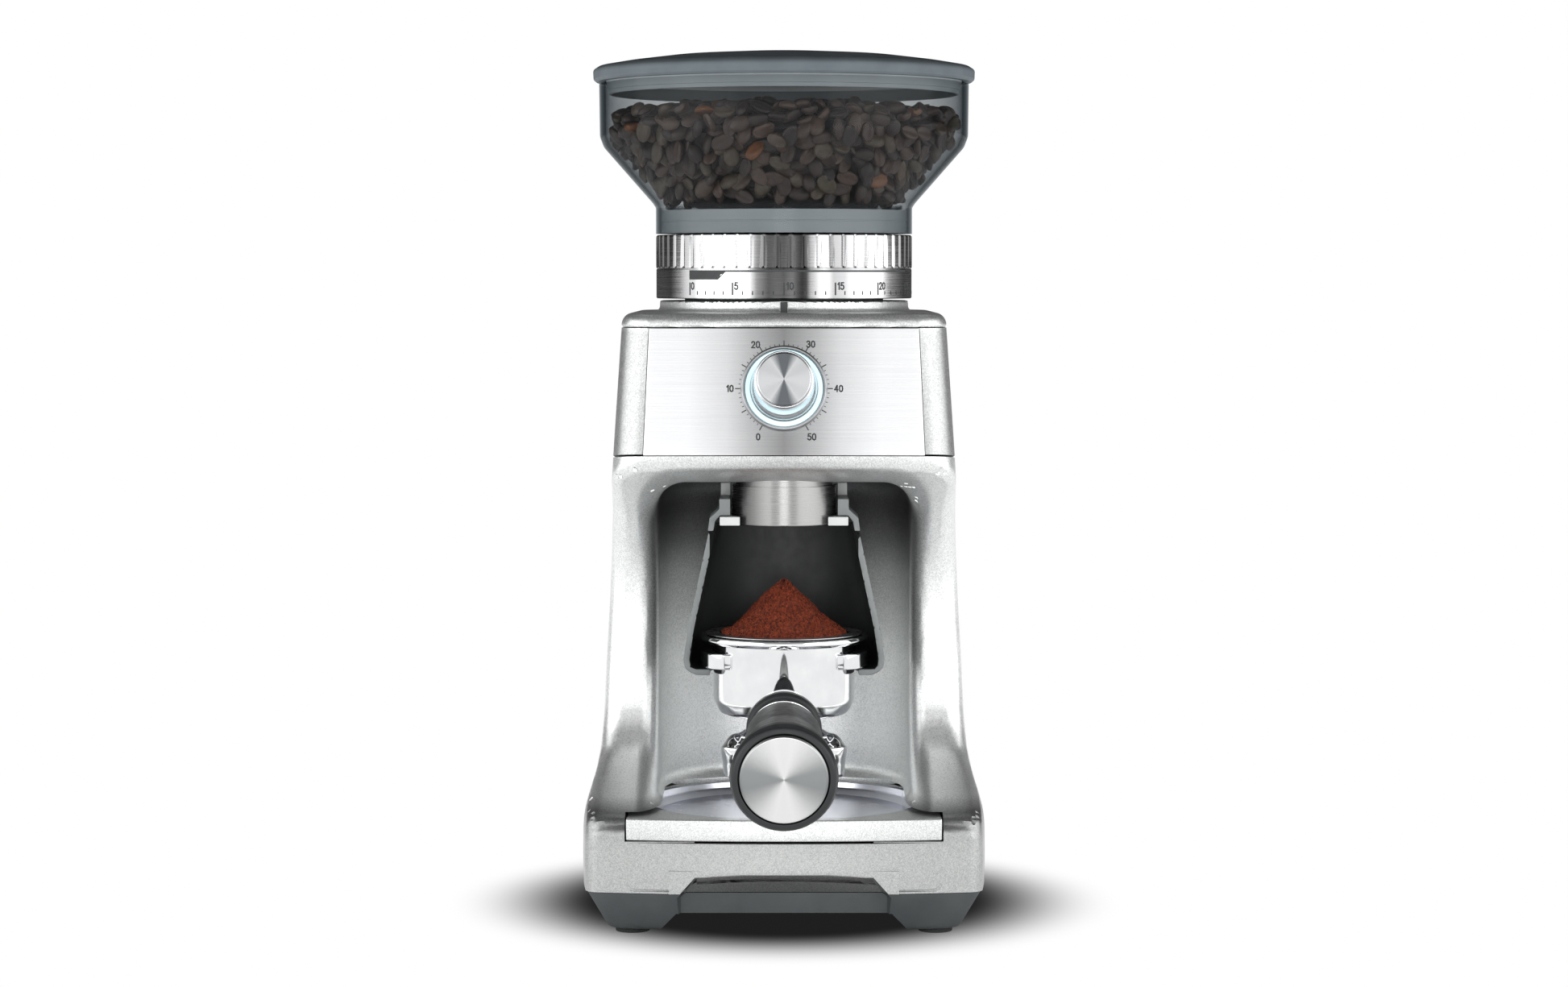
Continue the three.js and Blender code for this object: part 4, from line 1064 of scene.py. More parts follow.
def hopper_lid():
    top = [(0, 389.0), (30, 388.35), (55, 386.6), (73.5, 384.2), (84.6, 382.3, 2), (87.2, 380.6, 1.6),
           (87.0, 376.4, 1.0),
           (85.7, 375.3, 0.5), (82.3, 375.3), (82.3, 378.2, 1), (60, 382.7), (30, 385.2), (0, 386)]
    lathe("lid_cap", top, "hopper_lid", LID_GREY, ["lid"], segments=144)
    seal = [(78.6, 369.6, 0.6), (79.9, 369.6, 0.6), (80.1, 371.4), (80.6, 371.6), (81.5, 377.6),
            (78.6, 377.8)]
    lathe("lid_skirt", seal, "hopper_lid", SEAL_GREY, ["lid_seal"], segments=144)
    liner = [(0, 375.2), (77.6, 375.2), (78.4, 375.8), (78.4, 377.4), (0, 377.4)]
    lathe("lid_liner", liner, "hopper_lid", LINER_WHITE, segments=144)


def dial():
    """The steel dial: a smooth printed band below and flutes above, on a dark core."""
    segments = KNURLS * 10
    groove = np.zeros(segments)
    for k in range(KNURLS):
        for step, depth in ((4, 0.5), (5, 0.85), (6, 0.5)):
            groove[k * 10 + step] = depth
    rows = [(276.9, 57.3, 0), (276.9, 58.1, 0), (277.3, 58.5, 0), (290.0, 58.5, 0), (290.25, 58.25, 0),
            (290.45, 58.25, 0),
            (290.7, 58.5, 0), (291.6, 58.6, 1), (304.6, 58.6, 1), (305.3, 58.45, 0.7), (305.7, 58.0, 0.2),
            (305.7, 57.3, 0)]
    loops = []
    for z, radius, fluted in rows:
        loop = []
        for i in range(segments):
            a = (i - 5) * TURN / segments - math.pi / 2 + TURN / KNURLS / 2
            r = radius - groove[i] * fluted
            loop.append((r * math.cos(a), r * math.sin(a), z))
        loops.append(loop)
    vertices, faces = skin(loops, closed=True)
    new_object("dial_ring", vertices, faces, "grind_dial", DIAL_STEEL, 28, ["grind_dial_sleeve"])
    core = [(57, 277.3), (57, 305.4), (34, 305.4), (34, 287), (38, 287), (38, 301), (46.8, 301),
            (46.8, 277.3)]
    lathe("dial_core", core, "grind_dial", SLATE, ["grind_dial_core"], segments=96)


FONT_STROKES = {
    "0": [[(0.5, 1.5), (0.1, 1.3), (0, 0.75), (0.1, 0.2), (0.5, 0), (0.9, 0.2), (1, 0.75), (0.9, 1.3),
           (0.5, 1.5)]],
    "1": [[(0.15, 1.15), (0.55, 1.5), (0.55, 0)]],
    "2": [[(0.05, 1.15), (0.2, 1.42), (0.5, 1.5), (0.85, 1.38), (0.95, 1.1), (0.8, 0.75), (0.05, 0),
           (1, 0)]],
    "3": [[(0.05, 1.25), (0.3, 1.48), (0.65, 1.48), (0.92, 1.25), (0.85, 0.92), (0.5, 0.78), (0.85, 0.68),
           (1, 0.4), (0.8, 0.08), (0.5, 0), (0.2, 0.06), (0, 0.3)]],
    "4": [[(0.75, 0), (0.75, 1.5), (0, 0.45), (1, 0.45)]],
    "5": [[(0.9, 1.5), (0.2, 1.5), (0.1, 0.85), (0.5, 0.98), (0.85, 0.85), (1, 0.5), (0.85, 0.12), (0.5, 0),
           (0.18, 0.08), (0, 0.3)]],
    "6": [[(0.85, 1.42), (0.5, 1.5), (0.15, 1.2), (0.02, 0.6), (0.15, 0.12), (0.5, 0), (0.85, 0.12),
           (1, 0.45),
           (0.85, 0.8), (0.5, 0.92), (0.15, 0.75), (0.03, 0.5)]],
}


def stroke_quads(points, width):
    """A pen stroke as flat quads with round joints, in its own plane."""
    quads = []
    points = [np.array(p, dtype=float) for p in points]
    for a, b in zip(points, points[1:]):
        along = b - a
        length = float(np.hypot(*along))
        if length < 1e-9:
            continue
        side = np.array([-along[1], along[0]]) / length * width / 2
        reach = along / length * width * 0.42
        quads.append([a - reach - side, b + reach - side, b + reach + side, a - reach + side])
    return quads


def number_quads(text, x, y, height, width):
    """A number's strokes. x, y is its lower left corner."""
    quads = []
    for digit in text:
        for line in FONT_STROKES[digit]:
            scaled = [(x + px * height * 0.52, y + py * height / 1.5) for px, py in line]
            quads.extend(stroke_quads(scaled, width))
        x += height * (0.52 + 0.24) if digit != "1" else height * 0.56
    return quads


def bar_quad(x0, x1, y0, y1):
    return [np.array(p, dtype=float) for p in ((x0, y0), (x1, y0), (x1, y1), (x0, y1))]


def print_on(name, quads, wrap, body):
    """Flat quads as thin raised print. wrap(u, v, lift) puts a point on the printed surface."""
    vertices, faces = [], []
    for quad in quads:
        width = max(float(np.hypot(*(quad[1] - quad[0]))), 1e-6)
        cuts = max(1, int(width / 2.0))
        base = len(vertices)
        for lift in (PRINT_GAP, PRINT_GAP + PRINT_THICKNESS):
            for k in range(cuts + 1):
                t = k / cuts
                for a, b in ((quad[0], quad[1]), (quad[3], quad[2])):
                    p = a * (1 - t) + b * t
                    vertices.append(wrap(p[0], p[1], lift))
        layer = 2 * (cuts + 1)
        for k in range(cuts):
            a = base + 2 * k
            low = [a, a + 2, a + 3, a + 1]
            faces.append(low[::-1])
            faces.append([i + layer for i in low])
            faces.append([a, a + 2, a + 2 + layer, a + layer])
            faces.append([a + 3, a + 1, a + 1 + layer, a + 3 + layer])
        last = base + 2 * cuts
        faces.append([base + 1, base, base + layer, base + 1 + layer])
        faces.append([last, last + 1, last + 1 + layer, last + layer])
    new_object(name, vertices, faces, body, INK)


def dial_print():
    """Ticks and numbers round the lower band, and the marked fine end of the range."""
    radius = 58.5

    def wrap(u, v, lift):
        a = u / radius - math.pi / 2
        return ((radius + lift) * math.cos(a), (radius + lift) * math.sin(a), v)

    quads = []
    for setting in range(0, 61):
        u = (setting - 10) * SETTING * radius
        if setting % 5 == 0:
            quads.append(bar_quad(u - 0.36, u + 0.36, 278.6, 284.2))
            quads.extend(number_quads(str(setting), u + 1.0, 281.2, 2.9, 0.62))
        else:
            quads.append(bar_quad(u - 0.26, u + 0.26, 278.7, 280.4))
    start = -10 * SETTING * radius
    quads.append(bar_quad(start - 0.36, 15 * SETTING * radius, 288.9, 289.7))
    flag = start + 16.2
    quads.append([np.array(p) for p in ((start - 0.36, 285.5), (flag, 285.5), (flag + 4.0, 289.1),
                                        (start - 0.36, 289.1))])
    print_on("dial_print", quads, wrap, "grind_dial")


# ---------------------------------------------------------------- beans
def bean_mesh(rings=9, around=14):
    """One bean of unit half-length: domed above, flatter below, with a crease along the flat side."""
    vertices = [(-1, 0, -0.06)]
    for i in range(1, rings):
        t = math.pi * i / rings
        x, r = -math.cos(t), math.sin(t) ** 0.86
        for k in range(around):
            a = TURN * k / around
            y, z = r * 0.70 * math.cos(a), r * math.sin(a)
            z = z * 0.52 if z > 0 else z * 0.30
            if math.sin(a) < -0.8:
                z += 0.16 * r
            vertices.append((x, y, z))
    vertices.append((1, 0, -0.06))
    faces = []
    last = len(vertices) - 1
    for k in range(around):
        n = (k + 1) % around
        faces.append([0, 1 + n, 1 + k])
        faces.append([last, last - around + k, last - around + n])
        for i in range(rings - 2):
            a = 1 + i * around
            faces.append([a + k, a + n, a + around + n, a + around + k])
    return np.array(vertices), outward(vertices, faces)


def bean_centres(rng):
    """Points spread over the hopper's inner wall and the heap's top, at least one bean apart."""
    wall = [(80.4, 360.5), (80.4, 350.0), (78.0, 346.0), (58.6, 324.6), (56.4, 321.8)]
    tries = []
    for _ in range(30000):
        if rng.random() < 0.7:
            t = rng.choice([0.0, 0.0, 1.0, 2.0, 2.0, 2.0, 2.0, 3.0]) + rng.random()
            i = int(t)
            (r0, z0), (r1, z1) = wall[i], wall[i + 1]
            r = r0 + (r1 - r0) * (t - i) - rng.uniform(2.6, 8.6)
            z = z0 + (z1 - z0) * (t - i) + rng.uniform(0, 2.0)
        else:
            r = 73.5 * math.sqrt(rng.random())
            z = heap_top(r) - rng.uniform(1.0, 6.0)
        if z > heap_top(r) - 0.5:
            continue
        a = rng.uniform(0, TURN)
        tries.append((r * math.cos(a), r * math.sin(a), z))
    kept = np.empty((0, 3))
    for point in tries:
        if len(kept) and ((kept - point) ** 2).sum(1).min() < 5.7**2:
            continue
        kept = np.vstack([kept, point])
    return kept


def heap_top(radius):
    return 366.4 - 5.0 * (radius / 80) ** 2


def wall_radius(z):
    return float(np.interp(z, [306, 318.5, 322, 346.4, 351, 375], [55.9, 55.9, 57.4, 79.2, 81.2, 81.2]))


def beans():
    """Loose beans against the wall and over the heap, all in one mesh, each with its own tint."""
    rng = np.random.default_rng(7)
    shape, shape_faces = bean_mesh()
    vertices, faces, tints = [], [], []
    for centre in bean_centres(rng):
        half = rng.uniform(4.4, 5.6)
        stretch = np.array([1.0, rng.uniform(0.92, 1.1), rng.uniform(0.9, 1.15)])
        radial = math.atan2(centre[1], centre[0])
        low_wall = centre[2] < heap_top(math.hypot(centre[0], centre[1])) - 8
        if low_wall:
            turn = Matrix.Rotation(radial, 3, "Z") @ Matrix.Rotation(math.pi / 2 * rng.choice([-1, 1]), 3,
                                                                     "Y")
            turn = turn @ Matrix.Rotation(rng.uniform(0, TURN), 3, "Z")
            turn = turn @ Matrix.Rotation(rng.normal(0, 0.35), 3,
                                          "X") @ Matrix.Rotation(rng.normal(0, 0.3), 3, "Y")
        else:
            turn = Matrix.Rotation(rng.uniform(0, TURN), 3, "Z") @ Matrix.Rotation(rng.normal(0, 0.55), 3,
                                                                                   "X")
            turn = turn @ Matrix.Rotation(rng.normal(0, 0.4), 3,
                                          "Y") @ Matrix.Rotation(math.pi * rng.integers(0, 2), 3, "X")
        placed = (shape * stretch * half) @ np.array(turn).T + centre
        radius = np.hypot(placed[:, 0], placed[:, 1])
        room = np.array([wall_radius(z) for z in placed[:, 2]]) - 0.25
        placed[:, :2] *= np.minimum(1, room / np.maximum(radius, 1e-6))[:, None]
        faces.extend((np.array(face) + len(vertices)).tolist() for face in shape_faces)
        vertices.extend(placed)
        tints.extend([rng.random()] * len(placed))
    obj = new_object("coffee_beans", vertices, faces, None, BEAN)
    tint = obj.data.attributes.new("tint", "FLOAT", "POINT")
    tint.data.foreach_set("value", np.array(tints, dtype=np.float32))
    finish_piece(obj, "hopper", BEAN, 60, ["bean_fill"])
    core = [(0, 359.5), (50, 357.5), (64, 354.0), (70.0, 350.0), (67.0, 343.0), (50.0, 324.4), (47.0, 321.4),
            (22, 309.4), (18.8, 309.4), (18.8, 345), (0, 345)]
    vertices, faces = turned(core, 64)
    dark = new_object("bean_shade", vertices, outward(vertices, faces), None, BEAN)
    finish_piece(dark, "hopper", BEAN, 40)


# ---------------------------------------------------------------- tray and cradle
def tray():
    """The D-shaped tray: a painted frame with a strip across the front, and the round dish in it."""
    outline = tray_outline(TRAY_HALF, 64, -99.5, 64)
    vertices, faces = prism(outline, TRAY_BOTTOM, TRAY_TOP)
    frame_piece = new_object("tray_frame", vertices, outward(vertices, faces), None, SILVER)
    front = new_object("tray_strip", *outer_slab(12), None, SILVER)
    carve(front, block((-TRAY_HALF, TRAY_HALF), (-130, -80), (TRAY_BOTTOM, TRAY_TOP)), operation="INTERSECT")
    carve(frame_piece, mesh_of(front), operation="UNION")
    bpy.data.objects.remove(front)
    bevel_edges(frame_piece, 0.6, 50, 3)
    well = turned([(0, 43.9), (62.9, 43.9), (62.9, 50.4), (64.4, 51.0), (64.4, 60), (0, 60)], 144)
    well = (transform(well[0], at(0, TRAY_CENTRE)), well[1])
    carve(frame_piece, well)
    finish_piece(frame_piece, "tray", SILVER, 35, ["catch_tray"])
    dish = [(0, 44.4), (57, 44.4), (62.4, 46.8, 2), (62.4, 50.9, 0.4), (61.5, 50.9, 0.4), (60.6, 47.9, 2),
            (56.2, 45.7, 2), (0, 45.7)]
    lathe("tray_pan", dish, "tray", DISH_STEEL, ["tray_dish"], at(0, TRAY_CENTRE), 144)


def mesh_of(obj):
    """A piece's mesh as millimetre vertices about the burr axis, and its faces."""
    vertices = np.empty(len(obj.data.vertices) * 3)
    obj.data.vertices.foreach_get("co", vertices)
    vertices = vertices.reshape(-1, 3) / MM - (0, AXIS_Y, 0)
    return vertices, [list(face.vertices) for face in obj.data.polygons]


def cradle_half(z):
    """Half-width of the cradle's outer wall at a height."""
    return np.interp(z, [109, 112.5, 116, 129.5, 174, 176], [41.5, 44.4, 45.0, 43.0, 33.4, 33.1])


def cradle_field(x, y, z):
    """The cradle's wall, closed behind, with a ledge turned in at the bottom for the portafilter."""
    side = (np.abs(x) - cradle_half(z)) * 0.975
    plan = np.where(y > OUTLET_Y, np.hypot(x, y - OUTLET_Y) - 46.0, -50.0)
    outer = round_and(round_and(side, plan, 5.0), 109.0 - z, 3.2)
    inner = round_and(round_and(side + 2.6, plan + 2.6, 3.0), 111.6 - z, 2.0)
    wall = np.maximum(np.maximum(outer, -inner), z - 174.5)
    fork = np.where(y > OUTLET_Y, np.hypot(x, y - OUTLET_Y), np.abs(x)) - 33.2
    wall = np.maximum(wall, -fork)
    return np.maximum(wall, -54.2 - y)


def hanger(side):
    """The hook over the lug, as a plate that runs front to back."""
    outline = [(23.9, 188.0), (28.9, 188.0), (28.9, 183.4), (33.2, 179.4), (34.0, 173.6), (31.5, 173.6),
               (30.7, 177.8), (28.6, 180.5), (23.9, 180.5)]
    return prism_along_y([(side * a, b) for a, b in outline], -54.2, -22)


def cradle():
    """The black wall, with a lighter front edge, and its two hooks."""
    vertices, faces = field_mesh(cradle_field, (-48, -57, 104), (48, 7, 178), 0.9)
    shell = new_object("cradle_wall", vertices, faces, None, BLACK)
    for side, label in ((-1, "left"), (1, "right")):
        piece = new_object(f"cradle_hook_{label}", *hanger(side), None, CRADLE_EDGE)
        bevel_edges(piece, 0.5)
        finish_piece(piece, "cradle", CRADLE_EDGE, 35)
    shell.data.materials.append(CRADLE_EDGE)
    front = (-53.2 + AXIS_Y) * MM
    for face in shell.data.polygons:
        if face.center.y < front and face.normal.y < -0.5:
            face.material_index = 1
    shell.data.shade_smooth()
    shell.data.set_sharp_from_angle(angle=math.radians(40))
    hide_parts("portafilter_cradle")
    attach(shell, "cradle")


def lugs():
    for side, label in ((-1, "left"), (1, "right")):
        plate = block(sorted((side * 19.6, side * 28.6)), (-58, -24), (176.3, 180.1))
        lug = new_object(f"lug_{label}", *plate, None, LIGHT_GREY)
        carve(lug, block(sorted((side * 24.2, side * 28.6)), (-26, -10), (176.3, 193.6)), operation="UNION")
        post = turned([(0, 170), (23.7, 170), (23.7, 200), (0, 200)], 72)
        carve(lug, (transform(post[0], at(0, OUTLET_Y)), post[1]))
        bevel_edges(lug, 0.35)
        finish_piece(lug, "housing", LIGHT_GREY, 35, [f"cradle_lug_{label}"])
    collar = [(20.9, 176.3, 0.5), (23.3, 176.3, 0.6), (23.3, 193.6), (22.1, 193.6), (22.1, 197.2),
              (20.9, 197.2)]
    lathe("outlet_ring", collar, "housing", OUTLET_STEEL, ["outlet_collar"], at(0, OUTLET_Y), 96)
    chute = [block((-11, 11), (-62.4, -49), (197.6, 263)), block((-11, 11), (-50, -46), (247, 263))]
    duct = new_object("grounds_duct", *chute[0], None, SLATE)
    carve(duct, chute[1], operation="UNION")
    carve(duct, block((-9, 9), (-60.4, -51), (190, 261)), block((-9, 9), (-55, -40), (249, 261)))
    bevel_edges(duct, 0.3)
    finish_piece(duct, "housing", SLATE, 35, ["grounds_chute"])


# ---------------------------------------------------------------- portafilter
def portafilter():
    here = at(0, OUTLET_Y)
    cup = [(30.2, 126.5, 0.8), (37.2, 126.5, 0.9), (37.9, 124.6, 1.3), (36.2, 123.0, 0.8),
           (31.7, 122.8, 0.6), (31.8, 97.0, 5.5),
           (28.6, 90.6, 4), (9.2, 90.6), (9.2, 93.0), (28.0, 93.2, 3), (29.7, 96.0)]
    lathe("pf_cup", cup, "portafilter", CHROME, ["pf_body"], here, 128)
    for side, label in ((-1, "left"), (1, "right")):
        vertices, faces = ear(side)
        piece = new_object(f"pf_ear_{label}", vertices, faces, None, CHROME)
        bevel_edges(piece, 0.9, 40, 3)
        finish_piece(piece, "portafilter", CHROME, 40)
    neck = [(0, -29), (12.4, -29), (11.6, -18), (10.2, -8, 4), (10.0, -0.4), (0, -0.4)]
    lathe("pf_neck", neck, "portafilter", CHROME, (), handle_place(), 64)
    basket = [(28.6, 97.0, 2), (29.5, 97.0), (29.7, 126.7), (35.2, 126.8, 0.3), (35.3, 127.4, 0.4),
              (29.0, 127.5, 0.5),
              (28.5, 98.2), (0, 98.2), (0, 97.0)]
    lathe("pf_filter", basket, "portafilter", STEEL, ["pf_basket"], here)


def ear(side):
    """The bayonet ear: an arc flange with a ramped end."""
    inner, outer = [], []
    steps = 18
    for k in range(steps + 1):
        t = k / steps
        a = -0.74 + 1.04 * t
        grow = math.sin(math.pi * t) ** 0.35 if 0 < t < 1 else 0.0
        inner.append((31.2 * math.cos(a), 31.2 * math.sin(a)))
        outer.append(((31.4 + 6.6 * grow) * math.cos(a), (31.4 + 6.6 * grow) * math.sin(a)))
    outline = [(side * x, y + OUTLET_Y) for x, y in inner + outer[::-1]]
    vertices, faces = prism(outline, 112.3, 119.4)
    return vertices, outward(vertices, faces)


def handle_place():
    return at(0, -99.4, 91.2) @ Matrix.Rotation(math.pi / 2 + HANDLE_TILT, 4, "X")


def handle():
    place = handle_place()
    collar = [(10.6, 0, 0.5), (15.2, 0, 1.2), (16.4, 1.6, 1), (16.4, 5.8, 1), (15.2, 7.4, 1.2),
              (10.6, 7.4, 0.5)]
    lathe("handle_collar", collar, "portafilter", GRIP_BLACK, ["pf_collar"], place, 96)
    ferrule = [(0, 0.6), (10.2, 0.6), (10.2, 7.9), (14.0, 7.9, 0.8), (14.6, 13.0, 2), (15.6, 22.0, 3),
               (15.6, 27.2, 0.6), (13.2, 27.2), (11, 34), (0, 34)]
    lathe("handle_ferrule", ferrule, "portafilter", CHROME, ["pf_ferrule"], place, 96)
    grip = [(11.8, 36), (14, 27.5, 0.4), (16.3, 27.5, 1.0), (16.8, 40, 9), (17.4, 66, 22), (19.8, 92, 22),
            (21.8, 105, 6), (22.1, 111, 3),
            (21.2, 115.0, 1.8), (18.6, 115.4, 0.5), (18.5, 111.2), (0, 111.2), (0, 36)]
    lathe("handle_grip", grip, "portafilter", GRIP_BLACK, ["pf_grip"], place, 112, 35)
    cap = [(0, 111.5), (18.1, 111.5), (18.1, 115.4, 0.6), (17.3, 116.2, 0.5), (0, 116.5)]
    lathe("handle_cap", cap, "portafilter", CAP_STEEL, ["pf_end_cap"], place, 128)


def spout_field(x, y, z):
    """The double spout: a hub under the bowl, two arms that bow out, and a nozzle at each end."""
    y = y - OUTLET_Y
    hub = np.maximum(np.hypot(x, y) - 8.6, np.abs(z - 86) - 7.0)
    a = np.clip(np.abs(x) / 20.0, 0, 1)
    droop = 81.5 - 7.0 * a**2
    arm = np.hypot(np.hypot(y, z - droop), np.maximum(np.abs(x) - 20.0, 0)) - 7.2
    nozzle = np.maximum(np.hypot(np.abs(x) - 20.2, y) - 7.2 - 0.04 * (z - 62), np.abs(z - 68.5) - 6.5)
    shape = round_or(round_or(hub, arm, 3), nozzle, 3)
    bore = np.maximum(np.hypot(np.abs(x) - 20.2, y) - 5.6, z - 69)
    return np.maximum(shape, -bore)


def spout():
    vertices, faces = field_mesh(spout_field, (-31, OUTLET_Y - 11, 58), (31, OUTLET_Y + 11, 96), 0.8)
    new_object("pf_spouts", vertices, faces, "portafilter", CHROME, 45, ["pf_spout"])


def coffee():
    """The heap: a rough cone, with loose grains over it."""
    rng = np.random.default_rng(11)
    rings, around = 70, 220
    bumps = rng.uniform(-1, 1, (12, 4))

    def height(r, a):
        keys = [(0, 151.2), (2.5, 149.6), (9, 143.3), (17, 135.2), (24, 129.4), (28.2, 127.3)]
        base = np.interp(r, *zip(*keys))
        wave = sum(
            b[0] * math.sin(b[1] * 9 + r * (0.5 + b[2]) + a * round(3 + 4 * abs(b[3]))) for b in bumps
        )
        return base + 0.22 * wave * min(1, r / 5) * min(1, max(0, (28.5 - r) / 4))

    vertices = [(0, OUTLET_Y, height(0, 0))]
    for i in range(1, rings + 1):
        r = 28.2 * (i / rings) ** 0.9
        for k in range(around):
            a = TURN * k / around
            rough = rng.uniform(-0.42, 0.42)
            vertices.append((r * math.cos(a), OUTLET_Y + r * math.sin(a), height(r, a) + rough))
    for k in range(around):
        a = TURN * k / around
        vertices.append((27.9 * math.cos(a), OUTLET_Y + 27.9 * math.sin(a), 98.5))
    vertices.append((0, OUTLET_Y, 98.5))
    faces = []
    for k in range(around):
        n = (k + 1) % around
        faces.append([0, 1 + k, 1 + n])
        for i in range(rings):
            a = 1 + i * around
            faces.append([a + k, a + around + k, a + around + n, a + n])
        a = 1 + rings * around
        faces.append([a + k, len(vertices) - 1, a + n])
    grain = np.array([(1, 0, 0), (-1, 0, 0), (0, 1, 0), (0, -1, 0), (0, 0, 1), (0, 0, -1)], dtype=float)
    grain_faces = [(0, 2, 4), (2, 1, 4), (1, 3, 4), (3, 0, 4), (2, 0, 5), (1, 2, 5), (3, 1, 5), (0, 3, 5)]
    for _ in range(5200):
        r = 28.0 * math.sqrt(rng.random())
        a = rng.uniform(0, TURN)
        size = rng.uniform(0.22, 0.62)
        centre = (r * math.cos(a), OUTLET_Y + r * math.sin(a), height(r, a) + size * 0.5)
        turn = np.array(Matrix.Rotation(rng.uniform(0, 3), 3, (rng.random(), rng.random(), 0.3)))
        start = len(vertices)
        vertices.extend((grain * rng.uniform(0.55, 1.2, (6, 1)) * size) @ turn.T + centre)
        faces.extend([start + i for i in face] for face in grain_faces)
    obj = new_object("coffee_heap", vertices, faces, None, GROUNDS)
    finish_piece(obj, "portafilter", GROUNDS, None, ["ground_coffee"])


# ---------------------------------------------------------------- timer knob and panel print
def knob():
    place = knob_place()
    bezel = [(17.2, 0.2), (18.9, 0.2), (19.0, 1.0, 0.4), (18.4, 2.0, 0.5), (17.6, 2.0, 0.3), (17.2, 1.5)]
    lathe("timer_bezel", bezel, "housing", BEZEL_STEEL, ["knob_bezel"], place, 128)
    glow = [(14.9, -1.1), (17.0, -1.1), (17.0, 1.5, 0.4), (14.9, 1.2, 0.3)]
    lathe("timer_glow", glow, "housing", LAMP, ["light_ring"], place, 128)
    body = [(3.35, 2.4), (14.5, 2.4, 0.4), (14.6, 3.8, 0.6), (13.2, 9, 5), (12.9, 20.8, 0.6),
            (12.5, 22.3, 0.5), (11.9, 22.3, 0.3), (11.9, 21),
            (0, 21), (0, 17), (3.35, 17)]
    lathe("timer_skirt", body, "timer_knob", CHROME_SOFT, ["time_knob"], place, 128)
    cap = [(0, 21.2), (11.7, 21.2), (11.7, 22.4, 0.3), (11.3, 22.8, 0.3), (0, 22.9)]
    lathe("timer_face", cap, "timer_knob", FACE_STEEL, ["knob_cap"], place, 128)


def panel_print():
    """The timer's scale on the panel: ticks from nought to fifty, with a number at each ten."""
    place = knob_place()

    def wrap(u, v, lift):
        return tuple(place @ Vector((u, v, lift - head_bow(u) * math.cos(PANEL_TILT) + 0.02)))

    quads = []
    for k in range(51):
        a = math.radians(240 - 6 * k)
        long_tick = k % 5 == 0
        inner, outer = 19.3, 21.2 if long_tick else 19.9
        direction = (math.cos(a), math.sin(a))
        tick = [(inner * direction[0], inner * direction[1]), (outer * direction[0], outer * direction[1])]
        quads.extend(stroke_quads(tick, 0.46 if long_tick else 0.30))
    for text, x, y in (("0", -12.0, -22.8), ("10", -25.2, -1.3), ("20", -14.2, 18.2), ("30", 10.0, 18.4),
                       ("40", 22.2, -1.3), ("50", 10.4, -22.8)):
        quads.extend(number_quads(text, x, y, 2.7, 0.58))
    print_on("panel_print", quads, wrap, "housing")


# ---------------------------------------------------------------- pieces kept from the CAD
KEPT = {
    "dark": ["gear_case", "gear_cover", "burr_chamber", "burr_carrier", "bean_gate", "cord_gland",
             "rotary_encoder"],
    "steel": ["motor_can", "motor_shaft", "motor_pinion", "idler_pin", "drive_shaft", "cone_burr",
              "ring_burr", "burr_nut",
              "knob_spindle"],
    "nylon": ["idler_gear", "output_gear", "sweeper"],
    "bronze": ["lower_bearing", "upper_bearing"],
    "board": ["control_board", "power_board"],
}


def keep_cad_pieces():
    """The inner pieces keep their CAD shapes and take finished materials."""
    looks = {"dark": SLATE, "steel": STEEL, "nylon": NYLON, "bronze": BRONZE, "board": BOARD}
    for look, names in KEPT.items():
        for name in names:
            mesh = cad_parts[name].data
            for slot in range(len(mesh.materials)):
                mesh.materials[slot] = looks[look]


# ---------------------------------------------------------------- stage, light and camera
def stage():
    """A white floor that gives its own light, with a painted shadow under the base."""
    made = bpy.data.materials.new("floor_white")
    made.use_nodes = True
    nodes, links = made.node_tree.nodes, made.node_tree.links
    nodes.clear()
    coordinates = nodes.new("ShaderNodeTexCoord")
    share = nodes.new("ShaderNodeVectorMath")
    share.operation = "MULTIPLY_ADD"
    share.inputs[1].default_value = (1 / SHADOW_HALF[0], 1 / SHADOW_HALF[1], 0)
    share.inputs[2].default_value = (0, -SHADOW_CENTRE / SHADOW_HALF[1], 0)
    links.new(coordinates.outputs["Object"], share.inputs[0])
    distance = nodes.new("ShaderNodeVectorMath")
    distance.operation = "LENGTH"
    links.new(share.outputs["Vector"], distance.inputs[0])
    edge = nodes.new("ShaderNodeMapRange")
    edge.interpolation_type = "SMOOTHERSTEP"
    edge.inputs["From Min"].default_value, edge.inputs["From Max"].default_value = SHADOW_EDGE
    links.new(distance.outputs["Value"], edge.inputs["Value"])
    # The painted shadow: dark in an ellipse under the base, fading to white outwards.
    shade = ramp(nodes, links, edge.outputs["Result"], grey(SHADOW_TONE), grey(1.0), 0.0, 1.0)
    seen = nodes.new("ShaderNodeLightPath")
    strength = ramp(nodes, links, seen.outputs["Is Camera Ray"], grey(FLOOR_GLOW), grey(1.0), 0.0, 1.0)
    glow = nodes.new("ShaderNodeEmission")
    links.new(shade, glow.inputs["Color"])
    links.new(strength, glow.inputs["Strength"])
    output = nodes.new("ShaderNodeOutputMaterial")
    links.new(glow.outputs["Emission"], output.inputs["Surface"])
    bpy.ops.mesh.primitive_plane_add(size=14, location=(0, 0, -0.0002))
    floor = bpy.context.object
    floor.name = "floor"
    floor.data.materials.append(made)


def light(name, place, target, size, power):
    lamp = bpy.data.lights.new(name, "AREA")
    lamp.shape = "RECTANGLE"
    lamp.size, lamp.size_y = size
    lamp.energy = power
    obj = bpy.data.objects.new(name, lamp)
    obj.location = place
    aim = Vector(target) - Vector(place)
    obj.rotation_euler = aim.to_track_quat("-Z", "Y").to_euler()
    bpy.context.scene.collection.objects.link(obj)


